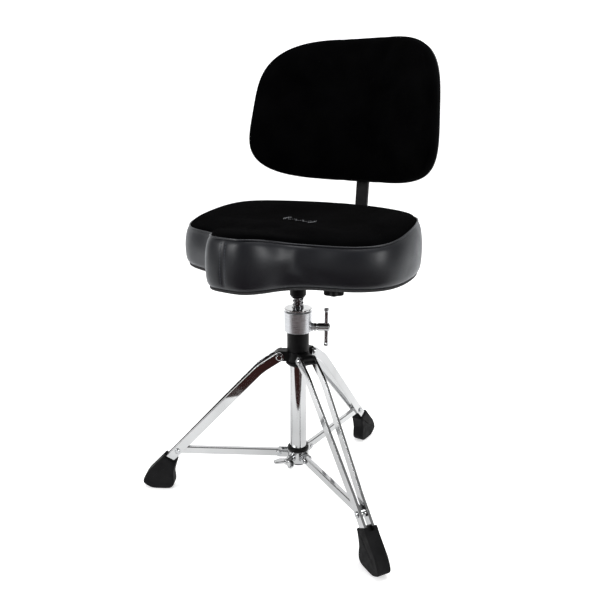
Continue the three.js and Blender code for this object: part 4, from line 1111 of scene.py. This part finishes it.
def build_backrest():
    count = 160
    outline = back_outline(count)
    rear = carriage_half + 3 + GAP
    depth = 39.0
    curve = lambda x: 0.00225 * x * x
    rings, held = [], []

    def at(height):
        """A height over the panel's rear face, on the panel's curve."""
        return lambda x, y: rear + height + curve(x)

    def add(hold, height, **ring):
        rings.append(ring_at(outline, height=at(height), **ring))
        held.append(hold)

    for share in (0.25, 0.5, 0.75):
        add(1, 3.6, share=share)
    for inset in (14, 8, 4.2):
        add(1, 3.6, inset=inset)
    add(1, 4.4, inset=2.0)
    seam = depth * 0.72
    for share in np.linspace(0.08, 0.94, 9):
        bulge = 2.4 * math.sin(math.pi * share)
        add(0, 4.6 + (seam - 4.6) * share, inset=1.6 - bulge)
    seam_ring = len(rings)
    add(1, seam, inset=1.8)
    add(0, seam + 3.4, inset=3.0)
    add(0, depth - 4.6, inset=6.5)
    add(0, depth - 2.6, inset=11)
    for share in (0.88, 0.82, 0.75, 0.67, 0.58, 0.48, 0.37, 0.26, 0.15):
        add(0 if share > 0.3 else 0.9, depth - 1.6, share=share)
    stand = carriage @ Matrix.Rotation(math.pi / 2, 4, "X")
    made = inflate(rings, held, 1.6, 3.5)
    o = cushion("backrest_cushion", made, count, [(6, "trim_cloth"), (len(rings), "velour")],
        ["back_cover", "back_foam"], "velour", {seam_ring: 0.35, 6: 0.5}, stand)
    cord = piping(made[0][6 * count:7 * count] + np.array([0, 0, -0.4]), 1.7)
    place("backrest_piping", moved(cord, stand), "vinyl", body="backrest", slot="velour", hard=False)

    # The moulded panel behind the pad, a little dished towards its rim.
    shell_rings = [(0, 0.25, 0.4), (0, 0.6, 0.4), (16, 1, 0.5), (9, 1, 1.0), (5.6, 1, 2.0), (4.8, 1, 3.0),
        (5.4, 1, 3.3), (0, 0.6, 3.3), (0, 0.25, 3.3)]
    shell = pillow([ring_at(outline, inset, share, at(z)) for inset, share, z in shell_rings])
    place("backrest_rear_shell", moved(shell, stand), "black_plastic", "back_board", sharp=60)
    screws = []
    for x, y in ((150, 80), (-150, 80), (140, -85), (-140, -85)):
        screw = lathe([(0, -1.6), (2.2, -1.5), (3.8, -0.4), (3.8, 0.6), (0, 0.6)], 32, 0.5)
        slotted = cut(screw, block((-0.5, -5, -3), (0.5, 5, -0.9)))
        screws.append(shifted(slotted, x=x, y=y, z=rear + 0.5 + curve(x)))
    place("backrest_screws", moved(together(*screws), stand), "steel", body="backrest")


def dress_cad_nodes():
    """What stays as packed gets its finish."""
    bolts = [f"seat_bolt_{i}" for i in (1, 2, 3, 4)] + ["back_bolt_1", "back_bolt_2"]
    for node in ["threaded_insert", "guide_clip", *bolts]:
        wear(frame["nodes"][node].data, "steel")
    wear(frame["nodes"]["spindle_guide"].data, "nylon")
    wear(frame["nodes"]["seat_board"].data, "stained_wood")


# ---- studio ----
CAMERA_TURN = math.radians(33.3)


def build_studio():
    scene = bpy.context.scene
    scene.view_settings.view_transform = "Standard"

    away = Vector((-math.sin(CAMERA_TURN), math.cos(CAMERA_TURN), 0))
    across = Vector((math.cos(CAMERA_TURN), math.sin(CAMERA_TURN), 0))

    def sheet(name, line, half_wide, lift, finish):
        """A strip through (distance away, height) points, square to the camera."""
        points = [AXIS + away * d + across * side + Vector((0, 0, z + lift)) for d, z in line
            for side in (-half_wide, half_wide)]
        mesh = bpy.data.meshes.new(name)
        mesh.from_pydata(points, [], [(2 * k, 2 * k + 1, 2 * k + 3, 2 * k + 2) for k in range(len(line) - 1)])
        smooth(mesh)
        mesh.materials.append(finish.material)
        return add_object(name, mesh)

    # A pale paper sweep: floor, curve and wall behind the object.
    paper = Finish("sweep_paper", (0.9, 0.9, 0.9), 0.9, Emission_Color=(1, 1, 1, 1), Emission_Strength=0.45,
        Specular_IOR_Level=0.0)
    paper.rough((3, 2), 0.85, 0.95)
    bend = arc(2.0, 1.5, 1.5, 0.1 - math.pi / 2, 0, 12)
    sweep = sheet("paper_sweep", [(-9.0, 0.0), (2.0, 0.0), *bend, (3.5, 7.0)], 8.0, -0.0006, paper)

    # A dark wooden board on the floor before the object, which only reflections see.
    wood = Finish("board_wood", (0.05, 0.012, 0.01), 0.8, Specular_IOR_Level=0.1)
    wood.colors((1, 4, (2, 14, 2)), (0.02, 0.006, 0.005), (0.06, 0.016, 0.013), end=0.75)
    boards = sheet("studio_boards", [(-2.8, 0.0), (-0.4, 0.0)], 2.0, 0.0008, wood)
    boards.visible_camera = boards.visible_shadow = boards.visible_diffuse = False

    world = bpy.data.worlds.new("studio")
    scene.world = world
    world.use_nodes = True
    background = world.node_tree.nodes["Background"]
    background.inputs["Color"].default_value = (1, 1, 1, 1)
    background.inputs["Strength"].default_value = 0.3

    def lamp(name, place_at, aim, size, power):
        light = bpy.data.lights.new(name, "AREA")
        light.shape, light.size, light.size_y, light.energy = "RECTANGLE", size[0], size[1], power
        o = add_object(name, light)
        o.location = place_at
        o.rotation_euler = (Vector(aim) - Vector(place_at)).to_track_quat("-Z", "Y").to_euler()

    lamp("key", (-1.0, -2.3, 1.5), (0, 0, 0.5), (0.6, 1.2), 30)
    lamp("fill", (2.6, -0.5, 1.2), (0, 0, 0.5), (0.7, 1.2), 26)
    lamp("top", (0.2, 0.4, 2.8), (0, 0, 0.0), (2.0, 2.0), 60)

    camera = bpy.data.cameras.new("camera")
    camera.lens, camera.sensor_width = 41.23, 36
    o = add_object("camera", camera)
    o.location = (0.6665, AXIS.y - 1.0146, 0.7305)
    o.rotation_euler = (math.pi / 2 - 0.273, 0, CAMERA_TURN - 0.003)
    scene.camera = o


build_column()
build_spindle()
build_lock()
build_leg_hub()
build_legs()
build_lower_collar()
build_seat()
build_post()
build_knobs()
build_backrest()
dress_cad_nodes()
build_studio()
